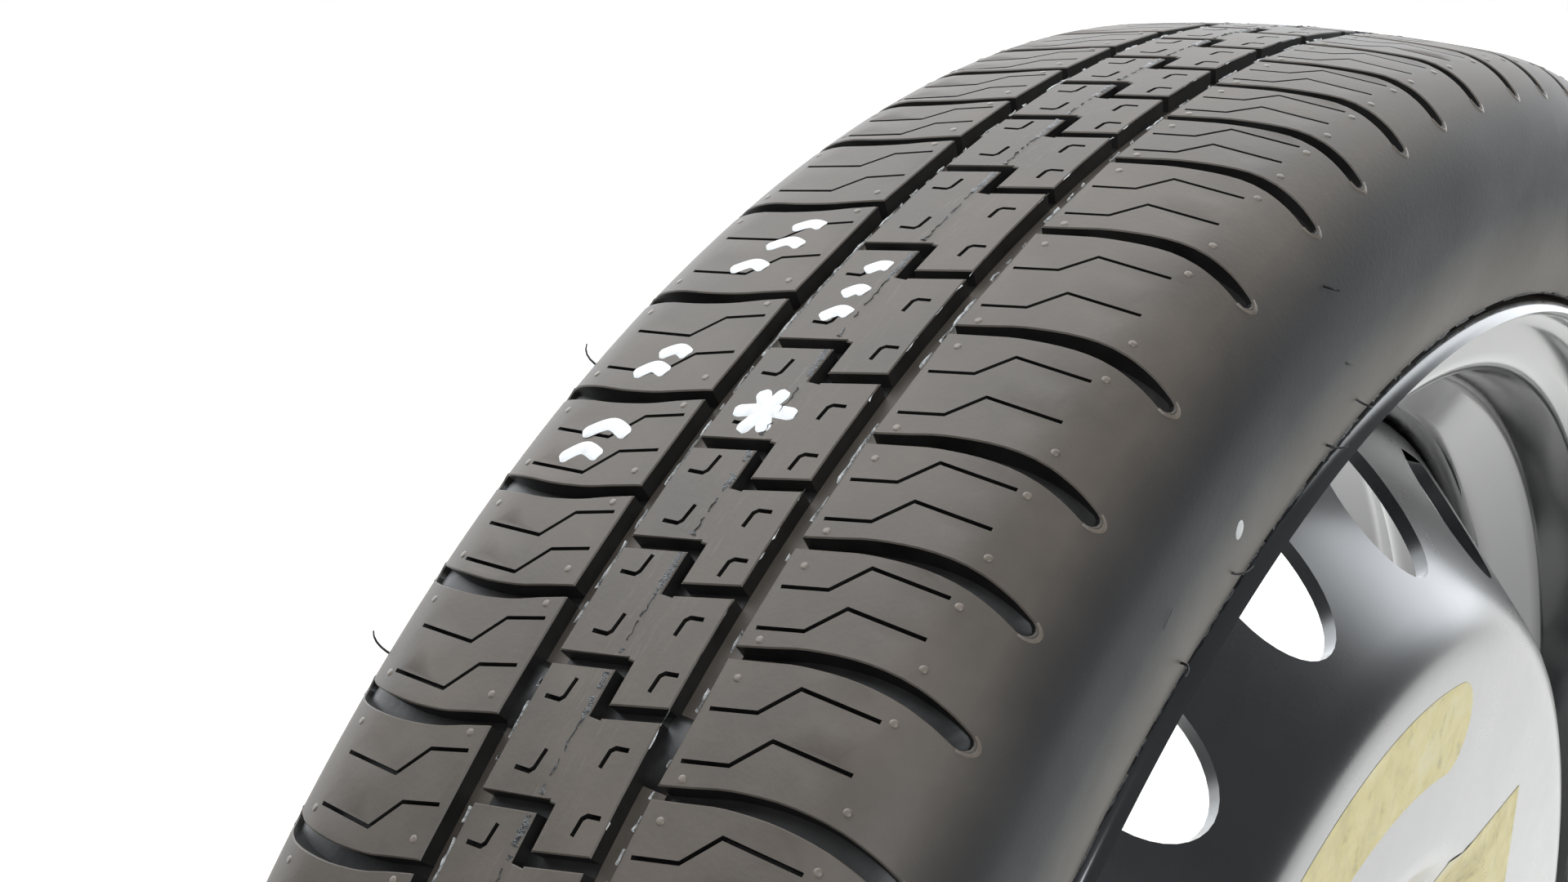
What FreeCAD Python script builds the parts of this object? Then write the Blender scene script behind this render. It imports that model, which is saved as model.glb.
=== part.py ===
import FreeCAD, Part
import math
import os
import Sketcher

# A narrow spare wheel, upright, in millimetres. The origin is the wheel's centre: the axle
# lies along Y, the outer face looks to -Y and +Z is up.

DOC = FreeCAD.newDocument("spare_wheel")
V = FreeCAD.Vector
AXLE = V(0, 1, 0)

# Driving dimensions: name, value, what it measures.
SIZES = [
    ("tread_height", 73.0, "bead seat to the tread's crown"),
    ("crown_curve", 350.0, "radius of the crown across the tread"),
    ("shoulder_start", 38.0, "centre plane to where the shoulder's curve begins"),
    ("shoulder_curve", 24.0, "radius of the shoulder"),
    ("shoulder_turn", 84.0, "angle of the surface at the shoulder's end"),
    ("section_half", 60.2, "centre plane to the tyre's widest place"),
    ("section_height", 36.0, "bead seat to the tyre's widest place"),
    ("bead_lip_half", 56.2, "centre plane to the sidewall's foot"),
    ("bead_lip_rise", 1.6, "sidewall's foot above the rim flange"),
    ("crown_wall", 12.0, "rubber under the crown"),
    ("side_wall", 6.5, "rubber of the sidewall"),
    ("bead_base", 15.0, "bead's width on its seat"),
    ("bead_inner_rise", 16.0, "bead's height inside the tyre"),
    ("rib_half", 12.1, "centre plane to the centre rib's edge"),
    ("groove_width", 4.6, "width of a groove round the tread"),
    ("groove_depth", 5.6, "depth of the tread's grooves"),
    ("groove_taper", 0.5, "narrowing of a groove's wall at its floor"),
    ("lateral_width", 2.4, "width of a shoulder groove"),
    ("lateral_depth", 5.0, "depth of a shoulder groove at the round groove"),
    ("lateral_end_depth", 2.0, "depth of a shoulder groove at its end"),
    ("lateral_margin", 6.9, "shoulder groove's end to the shoulder's end"),
    ("lateral_lead", 1.2, "outer side's shoulder groove ahead of its pitch line"),
    ("lateral_lag", 3.6, "inner side's shoulder groove behind its pitch line"),
    ("pitch_short", 20.0, "short tread pitch"),
    ("pitch_medium", 24.5, "medium tread pitch"),
    ("pitch_long", 28.6, "long tread pitch"),
    ("pitch_start", 45.0, "angle of the first pitch above the -X side"),
    ("rim_sheet", 2.6, "thickness of the rim's sheet"),
    ("rim_half", 44.45, "centre plane to a flange's inner face"),
    ("flange_height", 17.5, "bead seat to the top of a flange"),
    ("flange_curve", 9.5, "reach of a flange's rolled lip"),
    ("seat_radius", 231.0, "axle to the bead seat at the flange"),
    ("seat_taper", 5.0, "slope of a bead seat"),
    ("well_depth", 15.0, "bead seat to the drop well's floor"),
    ("well_half", 13.0, "half width of the drop well's floor"),
    ("well_slope", 49.0, "slope of the drop well's walls"),
    ("bead_clearance", 0.15, "room between bead and rim"),
    ("disc_sheet", 3.5, "thickness of the disc's sheet"),
    ("crown_face", 55.0, "centre plane to the disc's raised front ring"),
    ("ring_inset", 49.0, "drop well's floor to the raised ring's outer corner"),
    ("crown_inner", 108.0, "axle to the raised ring's inner corner"),
    ("crown_round", 20.0, "rounding of the raised ring's outer corner"),
    ("disc_cone", 45.0, "slope of the disc's vented wall"),
    ("bolt_face", 40.0, "centre plane to the face that meets the hub"),
    ("bolt_face_radius", 84.0, "axle to the edge of the bolt face"),
    ("disc_flange", 15.0, "length of the disc's edge inside the rim"),
    ("disc_clearance", 0.1, "room between disc and rim"),
    ("hub_bore", 57.1, "diameter of the hub bore"),
    ("bolt_circle", 112.0, "diameter of the bolt circle"),
    ("bolt_hole", 15.0, "diameter of a bolt hole"),
    ("bolt_count", 5, "bolt holes"),
    ("vent_inset", 22.0, "drop well's floor to a vent hole's middle"),
    ("vent_hole", 31.0, "diameter of a vent hole"),
    ("vent_count", 20, "vent holes"),
    ("vent_start", 62.0, "angle of the first vent hole above the -X side"),
    ("valve_hole", 11.3, "diameter of the valve hole in the rim"),
    ("valve_neck", 11.1, "diameter of the valve body where it sits in the rim"),
    ("valve_base", 18.0, "diameter of the valve body's foot in the tyre"),
    ("valve_base_length", 5.0, "height of the valve body's foot"),
    ("valve_collar", 15.0, "diameter of the valve body's collar"),
    ("valve_collar_length", 3.0, "height of the collar"),
    ("valve_tip", 9.8, "diameter of the valve body's far end"),
    ("valve_length", 24.0, "valve body from the rim to its far end"),
    ("valve_seat_gap", 0.25, "room between valve body and rim"),
    ("stem_outer", 7.7, "diameter of the brass stem"),
    ("stem_bore", 5.2, "bore of the stem's mouth"),
    ("stem_waist", 3.6, "bore of the stem below the core's seat"),
    ("stem_mouth", 34.0, "rim to the stem's mouth"),
    ("stem_foot", 4.0, "stem's reach below the rim"),
    ("core_seat", 25.0, "rim to the core's seat in the stem"),
    ("core_top", 32.5, "rim to the top of the core's housing"),
    ("core_outer", 4.9, "diameter of the core's housing"),
    ("core_bore", 1.6, "bore of the core's housing"),
    ("core_nose", 3.2, "diameter of the housing's nose below its seat"),
    ("core_nose_length", 4.0, "length of the housing's nose"),
    ("pin_diameter", 1.1, "diameter of the core's pin"),
    ("pin_top", 33.6, "rim to the top of the pin"),
    ("pin_plate", 3.0, "diameter of the plate at the pin's foot"),
    ("pin_plate_height", 0.8, "height of that plate"),
    ("core_seal_height", 1.2, "height of the pin's sealing cup"),
    ("ring_seal_height", 1.4, "height of the housing's ring seal"),
    ("cap_outer", 10.4, "diameter of the valve cap"),
    ("cap_bore", 8.3, "bore of the valve cap"),
    ("cap_length", 11.5, "length of the valve cap"),
    ("cap_top", 1.6, "thickness of the cap's end"),
    ("cap_seal_height", 1.0, "thickness of the cap's rubber disc"),
    ("fit_gap", 0.1, "room between the valve's pieces"),
]

# The order of short, medium and long pitches round the tread, which breaks up its hum.
PITCH_ORDER = 8 * "MSSMLLSSSS" + "MLMM"

# Where the pitch line that sets the shoulder grooves lies within a pitch.
LATERAL_PLACE = 0.29


def make_sheet():
    """Write the driving dimensions to a spreadsheet, one aliased cell each."""
    sheet = DOC.addObject("Spreadsheet::Sheet", "sizes")
    for row, (alias, value, meaning) in enumerate(SIZES, start=1):
        sheet.set("A%d" % row, meaning)
        sheet.set("B%d" % row, str(value))
        sheet.setAlias("B%d" % row, alias)
    DOC.recompute()
    return sheet


SHEET = make_sheet()


def size(alias):
    """Value of one driving dimension."""
    return float(getattr(SHEET, alias))


def value_of(expression):
    """Number that an expression in the sheet's names gives."""
    result = SHEET.evalExpression(expression)
    return float(getattr(result, "Value", result))


def plane_of(body, role):
    """Origin plane or axis of a body, by its role."""
    for feature in body.Origin.OriginFeatures:
        if feature.Role == role:
            return feature
    raise RuntimeError("no origin feature " + role)


def closed_sketch(body, name, role, corners):
    """Closed outline of straight edges on an origin plane, its corners bound to the sheet."""
    sketch = body.newObject("Sketcher::SketchObject", name)
    sketch.AttachmentSupport = [(plane_of(body, role), "")]
    sketch.MapMode = "FlatFace"
    places = [V(value_of(across), value_of(up), 0) for across, up in corners]
    count = len(corners)
    for index, place in enumerate(places):
        sketch.addGeometry(Part.LineSegment(place, places[(index + 1) % count]), False)
    rules = []
    for index in range(count):
        rules.append((Sketcher.Constraint("Coincident", index, 2, (index + 1) % count, 1), None))
    for index, (across, up) in enumerate(corners):
        place = places[index]
        rules.append((Sketcher.Constraint("DistanceX", -1, 1, index, 1, place.x), across))
        rules.append((Sketcher.Constraint("DistanceY", -1, 1, index, 1, place.y), up))
    sketch.addConstraint([rule for rule, _ in rules])
    for index, (_, expression) in enumerate(rules):
        if expression:
            sketch.setExpression("Constraints[%d]" % index, expression)
    return sketch


# Radii from the axle, worked out from the bead seat's.
RADII = [
    ("vent_circle", "(well_radius - vent_inset)"),
    ("crown_outer", "(well_radius - ring_inset)"),
    ("well_radius", "(seat_radius - well_depth)"),
    ("flange_radius", "(seat_radius + flange_height)"),
    ("section_radius", "(seat_radius + section_height)"),
    ("tread_radius", "(seat_radius + tread_height)"),
]


def named(expression):
    """Expression with its radii worked out and the sheet's name put before every alias."""
    for radius, meaning in RADII:
        expression = expression.replace(radius, meaning)
    words = sorted((alias for alias, _, _ in SIZES), key=len, reverse=True)
    for number, word in enumerate(words):
        expression = expression.replace(word, "@%d@" % number)
    for number, word in enumerate(words):
        expression = expression.replace("@%d@" % number, "sizes." + word)
    return expression


def turned(name, corners):
    """Body made by turning an outline in the YZ plane round the axle."""
    body = DOC.addObject("PartDesign::Body", name)
    corners = [tuple(named(text) for text in corner) for corner in corners]
    sketch = closed_sketch(body, name + "_section", "YZ_Plane", corners)
    turn = body.newObject("PartDesign::Revolution", name + "_turn")
    turn.Profile = sketch
    turn.ReferenceAxis = (sketch, ["H_Axis"])
    turn.Angle = 360
    DOC.recompute()
    return body


def mirrored(corners):
    """The same outline on the other side of the centre plane, run backwards."""
    return [("-(%s)" % across, up) for across, up in reversed(corners)]


# Tyre

SHOULDER_LEAN = "asin(shoulder_start / crown_curve)"
CROWN_DROP = "(crown_curve - sqrt(crown_curve ^ 2 - (%s) ^ 2))"
SHOULDER_Y = "shoulder_start + shoulder_curve * (sin(shoulder_turn * 1deg) - shoulder_start / crown_curve)"
SHOULDER_R = ("tread_radius - " + CROWN_DROP % "shoulder_start"
              + " - shoulder_curve * (cos(" + SHOULDER_LEAN + ") - cos(shoulder_turn * 1deg))")
GROOVE_EDGE = "rib_half + groove_width"


def shoulder_corner(share):
    """Corner on the shoulder's curve, at a share of its turn."""
    turn = "(%s + (shoulder_turn * 1deg - %s) * %s)" % (SHOULDER_LEAN, SHOULDER_LEAN, share)
    across = "shoulder_start + shoulder_curve * (sin(%s) - shoulder_start / crown_curve)" % turn
    up = "tread_radius - %s - shoulder_curve * (cos(%s) - cos(%s))" % (
        CROWN_DROP % "shoulder_start", SHOULDER_LEAN, turn)
    return (across, up)


def tyre_half():
    """Outline of the tyre's half on +Y, from the tread's crown to the inside of the crown."""
    rib_r = "tread_radius - " + CROWN_DROP % "rib_half"
    edge_r = "tread_radius - " + CROWN_DROP % GROOVE_EDGE
    floor_r = "tread_radius - groove_depth"
    heel_y = "rim_half - bead_clearance"
    heel_r = "seat_radius + bead_clearance"
    foot_r = "flange_radius + bead_lip_rise"
    inner_y = SHOULDER_Y + " - side_wall"
    lip_step = "flange_curve * (1 - sqrt(0.5))"
    return [
        ("rib_half", rib_r),
        ("rib_half + groove_taper", floor_r),
        (GROOVE_EDGE + " - groove_taper", floor_r),
        (GROOVE_EDGE, edge_r),
        ("shoulder_start", "tread_radius - " + CROWN_DROP % "shoulder_start"),
        shoulder_corner("1 / 3"),
        shoulder_corner("2 / 3"),
        (SHOULDER_Y, SHOULDER_R),
        ("section_half", "section_radius"),
        ("bead_lip_half", foot_r),
        ("rim_half + flange_curve", "flange_radius + bead_clearance"),
        (heel_y + " + " + lip_step, "flange_radius + bead_clearance - " + lip_step),
        (heel_y, "flange_radius - flange_curve"),
        (heel_y, heel_r),
        (heel_y + " - bead_base", heel_r + " - bead_base * tan(seat_taper * 1deg)"),
        (heel_y + " - bead_base + side_wall", heel_r + " + bead_inner_rise"),
        (inner_y, SHOULDER_R + " - 2 * side_wall"),
        ("shoulder_start", "tread_radius - crown_wall - " + CROWN_DROP % "shoulder_start"),
    ]


def surface_drop(across):
    """Drop of the tyre's outer surface from the tread's crown, on the shoulder's curve."""
    lean = size("shoulder_start") / size("crown_curve")
    turn = lean + (across - size("shoulder_start")) / size("shoulder_curve")
    crown_drop = value_of(named(CROWN_DROP % "shoulder_start"))
    return crown_drop + size("shoulder_curve") * (math.sqrt(1 - lean ** 2) - math.sqrt(1 - turn ** 2))


def shoulder_groove(sign, shift):
    """Cutter of one shoulder groove at the top of the wheel, moved round it by a shift.

    Its walls point at the axle and its floor runs out towards the shoulder.
    """
    start = size("rib_half") + size("groove_width") / 2
    reach = value_of(named(SHOULDER_Y)) - size("lateral_margin")
    top = value_of(named("tread_radius"))
    end_floor = top - surface_drop(reach) - size("lateral_end_depth")
    above = top + size("crown_wall")
    side = [(start, top - size("lateral_depth")), (reach, end_floor), (reach, above), (start, above)]
    points = [V(0, sign * across, radius) for across, radius in side]
    cutter = Part.Face(Part.makePolygon(points + points[:1]))
    cutter.rotate(V(0, 0, 0), AXLE, math.degrees((shift - size("lateral_width") / 2) / top))
    return cutter.revolve(V(0, 0, 0), AXLE, math.degrees(size("lateral_width") / top))


def tread_cutters():
    """Cutters of every shoulder groove, placed pitch by pitch round the wheel."""
    pair = [shoulder_groove(-1, size("lateral_lead")), shoulder_groove(1, -size("lateral_lag"))]
    lengths = {"S": size("pitch_short"), "M": size("pitch_medium"), "L": size("pitch_long")}
    turn = 360 / sum(lengths[letter] for letter in PITCH_ORDER)
    angle = size("pitch_start")
    cutters = []
    for letter in PITCH_ORDER:
        step = lengths[letter] * turn
        for tool in pair:
            cutter = tool.copy()
            cutter.rotate(V(0, 0, 0), AXLE, angle + LATERAL_PLACE * step - 90)
            cutters.append(cutter)
        angle += step
    return Part.makeCompound(cutters)


def make_tyre():
    """Tyre: a turned hollow section with two round grooves, and grooves cut across its shoulders."""
    half = tyre_half()
    moulded = turned("moulded_tyre", half + mirrored(half))
    grooves = DOC.addObject("Part::Feature", "shoulder_grooves")
    grooves.Shape = tread_cutters()
    tyre = DOC.addObject("Part::Cut", "tyre")
    tyre.Base = moulded
    tyre.Tool = grooves
    DOC.recompute()
    if tyre.Shape.Volume >= moulded.Shape.Volume:
        raise RuntimeError("the shoulder grooves cut nothing")
    return tyre


# Steel wheel

def offset_corner(across, up, before, after, thickness):
    """Corner of a sheet's other side, to the right of an outline that turns there.

    before and after are the outline's directions at the corner, in degrees from the across axis.
    """
    mean = "((%s) + (%s)) / 2 * 1deg" % (before, after)
    half = "((%s) - (%s)) / 2 * 1deg" % (after, before)
    return ("%s + %s * sin(%s) / cos(%s)" % (across, thickness, mean, half),
            "%s - %s * cos(%s) / cos(%s)" % (up, thickness, mean, half))


def sheet_outline(corners, directions, thickness):
    """Outline of a bent sheet: its one side's corners, then the other side's, run back."""
    other = []
    for index, (across, up) in enumerate(corners):
        before = directions[max(index - 1, 0)]
        after = directions[min(index, len(directions) - 1)]
        other.append(offset_corner(across, up, before, after, thickness))
    return corners + other[::-1]


def rim_corners():
    """Tyre side of the rim on +Y, from the drop well to the flange's lip, with its directions."""
    lip_step = "flange_curve * (1 - sqrt(0.5))"
    wall_rise = "(seat_radius - well_radius)"
    seat_inner = "(well_half + (%s - (rim_half - well_half) * tan(seat_taper * 1deg))" % wall_rise
    seat_inner += " / (tan(well_slope * 1deg) - tan(seat_taper * 1deg)))"
    seat_inner_r = "seat_radius - (rim_half - %s) * tan(seat_taper * 1deg)" % seat_inner
    corners = [
        ("well_half", "well_radius"),
        (seat_inner, seat_inner_r),
        ("rim_half", "seat_radius"),
        ("rim_half", "flange_radius - flange_curve"),
        ("rim_half + " + lip_step, "flange_radius - " + lip_step),
        ("rim_half + flange_curve", "flange_radius"),
    ]
    return corners, ["0", "well_slope", "seat_taper", "90", "67.5", "22.5"]


def make_rim():
    """Rim: rolled sheet with flanges, bead seats, a drop well and the valve's hole."""
    corners, directions = rim_corners()
    half = sheet_outline(corners, directions, "rim_sheet")
    outer = half[:len(corners)]
    inner = half[len(corners):]
    rolled = turned("rolled_rim", outer + inner + mirrored(outer + inner))
    hole = DOC.addObject("Part::Cylinder", "valve_hole")
    hole.setExpression("Radius", "sizes.valve_hole / 2")
    hole.setExpression("Height", "4 * sizes.rim_sheet")
    place_on_valve_axis(hole, "-2.5 * rim_sheet")
    rim = DOC.addObject("Part::Cut", "rim")
    rim.Base = rolled
    rim.Tool = hole
    DOC.recompute()
    return rim


def crown_corner(curve, share):
    """Corner on the rounding of the disc's raised ring, at a share of its turn."""
    turn = "(disc_cone * %s * 1deg)" % share
    middle_r = "(crown_outer - crown_round * tan(disc_cone / 2 * 1deg))"
    return ("-(crown_face - crown_round + %s * cos(%s))" % (curve, turn),
            "%s + %s * sin(%s)" % (middle_r, curve, turn))


def disc_section():
    """Section of the pressed disc, front side first, from the hub bore to its edge in the rim."""
    front = "-(bolt_face + disc_sheet)"
    crown = "-(crown_face)"
    back = "(crown_round - disc_sheet)"
    edge_r = "well_radius - rim_sheet - disc_clearance"
    edge_y = "-(crown_face - (%s - crown_outer) * tan(disc_cone * 1deg))" % edge_r
    lean = "atan((crown_face - bolt_face - disc_sheet) / (crown_inner - bolt_face_radius))"
    step = "disc_sheet * tan(%s / 2)" % lean
    edge_step = "disc_sheet * tan((90 - disc_cone) / 2 * 1deg)"
    return [
        (front, "hub_bore / 2"),
        (front, "bolt_face_radius"),
        (crown, "crown_inner"),
        crown_corner("crown_round", "0"),
        crown_corner("crown_round", "0.5"),
        crown_corner("crown_round", "1"),
        (edge_y, edge_r),
        (edge_y + " + disc_flange", edge_r),
        (edge_y + " + disc_flange", edge_r + " - disc_sheet"),
        (edge_y + " + " + edge_step, edge_r + " - disc_sheet"),
        crown_corner(back, "1"),
        crown_corner(back, "0.5"),
        crown_corner(back, "0"),
        (crown + " + disc_sheet", "crown_inner + " + step),
        ("-bolt_face", "bolt_face_radius + " + step),
        ("-bolt_face", "hub_bore / 2"),
    ]


def hole_sketch(body, name, across, up, diameter):
    """One circle on the body's XZ plane, bound to the sheet."""
    sketch = body.newObject("Sketcher::SketchObject", name)
    sketch.AttachmentSupport = [(plane_of(body, "XZ_Plane"), "")]
    sketch.MapMode = "FlatFace"
    places = [named(across), named(up), named(diameter) + " / 2"]
    x, y, radius = [value_of(place) for place in places]
    sketch.addGeometry(Part.Circle(V(x, y, 0), V(0, 0, 1), radius), False)
    sketch.addConstraint([
        Sketcher.Constraint("DistanceX", -1, 1, 0, 3, x),
        Sketcher.Constraint("DistanceY", -1, 1, 0, 3, y),
        Sketcher.Constraint("Radius", 0, radius),
    ])
    for index, place in enumerate(places):
        sketch.setExpression("Constraints[%d]" % index, place)
    return sketch


def ring_of_holes(body, name, across, up, diameter, count):
    """Holes through the sheet along the axle, repeated round it."""
    sketch = hole_sketch(body, name + "_sketch", across, up, diameter)
    pocket = body.newObject("PartDesign::Pocket", name)
    pocket.Profile = sketch
    pocket.Type = "ThroughAll"
    pocket.Midplane = True
    DOC.recompute()
    before = body.Shape.Volume
    pattern = body.newObject("PartDesign::PolarPattern", name + "_ring")
    pattern.Originals = [pocket]
    pattern.Axis = (plane_of(body, "Y_Axis"), [""])
    pattern.Angle = 360
    pattern.setExpression("Occurrences", named(count))
    body.Tip = pattern
    DOC.recompute()
    if body.Shape.Volume >= before:
        raise RuntimeError(name + " cut nothing")
    return pattern


def make_disc():
    """Pressed disc: bolt face, raised ring, vented wall and the edge that is welded in the rim."""
    body = turned("wheel_disc", disc_section())
    ring_of_holes(body, "vents", "-vent_circle * cos(vent_start * 1deg)",
                  "vent_circle * sin(vent_start * 1deg)", "vent_hole", "vent_count")
    ring_of_holes(body, "bolt_holes", "0", "bolt_circle / 2", "bolt_hole", "bolt_count")
    return body


# Air valve, built along its own axis: z = 0 is the rim's inner face, +z leads away from the tyre.

WALL_MIDDLE = "((seat_radius - well_radius) / 2)"


def place_on_valve_axis(obj, along):
    """Put an object on the valve's axis, at the lowest place of the rim's outer well wall."""
    along = "((%s) + rim_sheet)" % along
    wall_y = "(well_half + %s / tan(well_slope * 1deg))" % WALL_MIDDLE
    wall_r = "(well_radius + %s)" % WALL_MIDDLE
    obj.Placement = FreeCAD.Placement(V(0, 0, 0), FreeCAD.Rotation(V(1, 0, 0), size("well_slope")))
    obj.setExpression("Placement.Base.y", named("-(%s + %s * sin(well_slope * 1deg))" % (wall_y, along)))
    obj.setExpression("Placement.Base.z", named("-%s + %s * cos(well_slope * 1deg)" % (wall_r, along)))
    obj.setExpression("Placement.Rotation.Angle", named("well_slope * 1deg"))


def valve_piece(name, corners):
    """Turned piece on the valve's axis; corners are (radius, height)."""
    body = DOC.addObject("PartDesign::Body", name)
    corners = [tuple(named(text) for text in corner) for corner in corners]
    sketch = closed_sketch(body, name + "_section", "XZ_Plane", corners)
    turn = body.newObject("PartDesign::Revolution", name + "_turn")
    turn.Profile = sketch
    turn.ReferenceAxis = (sketch, ["V_Axis"])
    turn.Angle = 360
    place_on_valve_axis(body, "0")
    DOC.recompute()
    return body


def make_valve():
    """The snap-in valve: rubber body, brass stem, core with its pin and seals, and the cap."""
    foot = "-(rim_sheet + valve_seat_gap)"
    stem_r = "stem_outer / 2"
    body_bore = stem_r + " + fit_gap / 2"
    body = valve_piece("valve_body", [
        (body_bore, foot + " - valve_base_length"),
        ("valve_base / 2 - valve_base_length / 2", foot + " - valve_base_length"),
        ("valve_base / 2", foot),
        ("valve_neck / 2", foot),
        ("valve_neck / 2", "valve_seat_gap"),
        ("valve_collar / 2", "valve_seat_gap"),
        ("valve_collar / 2", "valve_collar_length"),
        ("valve_tip / 2", "valve_length"),
        (body_bore, "valve_length"),
    ])
    stem = valve_piece("valve_stem", [
        ("stem_waist / 2", "-stem_foot"),
        (stem_r, "-stem_foot"),
        (stem_r, "stem_mouth"),
        ("stem_bore / 2", "stem_mouth"),
        ("stem_bore / 2", "core_seat + (stem_bore - stem_waist) / 2"),
        ("stem_waist / 2", "core_seat"),
    ])
    seat_top = "core_seat + (stem_bore - stem_waist) / 2"
    nose_foot = seat_top + " + ring_seal_height - core_nose_length"
    housing = valve_piece("core_housing", [
        ("core_bore / 2", nose_foot),
        ("core_nose / 2", nose_foot),
        ("core_nose / 2", seat_top + " + ring_seal_height + fit_gap"),
        ("core_outer / 2", seat_top + " + ring_seal_height + fit_gap"),
        ("core_outer / 2", "core_top"),
        ("core_bore / 2", "core_top"),
    ])
    ring = valve_piece("housing_seal", [
        ("core_nose / 2 + fit_gap / 2", "core_seat + (core_nose - stem_waist) / 2 + 2 * fit_gap"),
        ("stem_bore / 2 - fit_gap / 2", seat_top + " + fit_gap / 2"),
        ("stem_bore / 2 - fit_gap / 2", seat_top + " + ring_seal_height"),
        ("core_nose / 2 + fit_gap / 2", seat_top + " + ring_seal_height"),
    ])
    seal_top = nose_foot + " - fit_gap"
    seal_foot = seal_top + " - core_seal_height"
    seal = valve_piece("core_seal", [
        ("pin_diameter / 2 + fit_gap / 2", seal_foot),
        ("pin_plate / 2", seal_foot),
        ("pin_plate / 2", seal_top),
        ("pin_diameter / 2 + fit_gap / 2", seal_top),
    ])
    plate_top = seal_foot + " - fit_gap"
    pin = valve_piece("core_pin", [
        ("0", plate_top + " - pin_plate_height"),
        ("pin_plate / 2", plate_top + " - pin_plate_height"),
        ("pin_plate / 2", plate_top),
        ("pin_diameter / 2", plate_top),
        ("pin_diameter / 2", "pin_top"),
        ("0", "pin_top"),
    ])
    cap_end = "stem_mouth + cap_seal_height + 2 * fit_gap"
    disc = valve_piece("cap_seal", [
        ("0", "stem_mouth + fit_gap"),
        ("cap_bore / 2 - fit_gap", "stem_mouth + fit_gap"),
        ("cap_bore / 2 - fit_gap", "stem_mouth + fit_gap + cap_seal_height"),
        ("0", "stem_mouth + fit_gap + cap_seal_height"),
    ])
    cap = valve_piece("valve_cap", [
        ("0", cap_end),
        ("cap_bore / 2", cap_end),
        ("cap_bore / 2", cap_end + " + cap_top - cap_length"),
        ("cap_outer / 2", cap_end + " + cap_top - cap_length"),
        ("cap_outer / 2", cap_end + " + cap_top"),
        ("0", cap_end + " + cap_top"),
    ])
    return [body, stem, housing, ring, seal, pin, disc, cap]


def check_document():
    """Stop if any object of the document failed."""
    for obj in DOC.Objects:
        if "Invalid" in obj.State or "Error" in obj.State:
            raise RuntimeError("failed: " + obj.Name)


def write_pieces(pieces):
    """Write each piece to a file named by its label."""
    for piece in pieces:
        if piece.Shape.isNull() or not piece.Shape.isValid():
            raise RuntimeError("bad shape: " + piece.Label)
    os.makedirs("parts", exist_ok=True)
    for piece in pieces:
        piece.Shape.exportStep("parts/%s.step" % piece.Label)


def main():
    """Build every piece, check the document and write the pieces."""
    pieces = [make_tyre(), make_rim(), make_disc()] + make_valve()
    DOC.recompute()
    check_document()
    write_pieces(pieces)


main()
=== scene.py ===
import math
import random

import bmesh
import bpy
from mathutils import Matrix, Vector, geometry


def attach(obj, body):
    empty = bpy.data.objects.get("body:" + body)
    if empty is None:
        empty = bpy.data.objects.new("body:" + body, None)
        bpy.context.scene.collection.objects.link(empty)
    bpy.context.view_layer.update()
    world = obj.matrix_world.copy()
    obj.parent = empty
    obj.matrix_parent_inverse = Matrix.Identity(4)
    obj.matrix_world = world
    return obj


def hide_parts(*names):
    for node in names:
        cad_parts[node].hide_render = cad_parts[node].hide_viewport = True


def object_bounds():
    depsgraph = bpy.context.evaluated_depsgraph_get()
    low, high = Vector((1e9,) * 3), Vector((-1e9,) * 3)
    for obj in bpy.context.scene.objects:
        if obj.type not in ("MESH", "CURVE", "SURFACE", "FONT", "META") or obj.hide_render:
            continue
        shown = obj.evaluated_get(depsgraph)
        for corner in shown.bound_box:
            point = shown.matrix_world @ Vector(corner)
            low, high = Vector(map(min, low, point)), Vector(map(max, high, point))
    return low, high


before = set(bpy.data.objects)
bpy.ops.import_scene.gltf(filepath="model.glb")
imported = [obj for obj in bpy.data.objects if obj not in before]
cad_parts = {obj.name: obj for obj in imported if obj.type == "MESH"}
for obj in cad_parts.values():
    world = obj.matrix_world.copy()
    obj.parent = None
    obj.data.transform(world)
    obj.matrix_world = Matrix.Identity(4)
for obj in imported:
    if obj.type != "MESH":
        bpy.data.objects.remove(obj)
CAD_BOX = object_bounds()

bl_info = {
    "name": "Spare wheel",
    "version": (1, 0, 0),
    "blender": (4, 5, 0),
    "location": "3D View > Sidebar > Spare wheel",
    "description": "Dresses a narrow spare wheel: grooved tyre, painted steel wheel and air valve",
    "category": "Object",
}

# The settings and the finished meshes are in metres. Other lengths are in millimetres where no comment says
# otherwise.
MM = 0.001
FULL_TURN = 2 * math.pi

# Points of one mesh closer than this, in metres, become one.
WELD = 2e-6

# Angles in degrees over which an edge stays sharp.
TYRE_SHARP = 32
STEEL_SHARP = 40
SKIN_SHARP = 50

# The order of short, medium and long pitches round the tread, and their lengths before they are stretched
# to fill the turn.
PITCH_ORDER = 8 * "MSSMLLSSSS" + "MLMM"
PITCH_LENGTHS = {"S": 20.0, "M": 24.5, "L": 28.6}
FIRST_PITCH = math.radians(45.0)

# A shoulder groove starts at this share of its pitch, less a short step back.
GROOVE_SHARE = 0.29
GROOVE_BACK = 1.2

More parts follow.
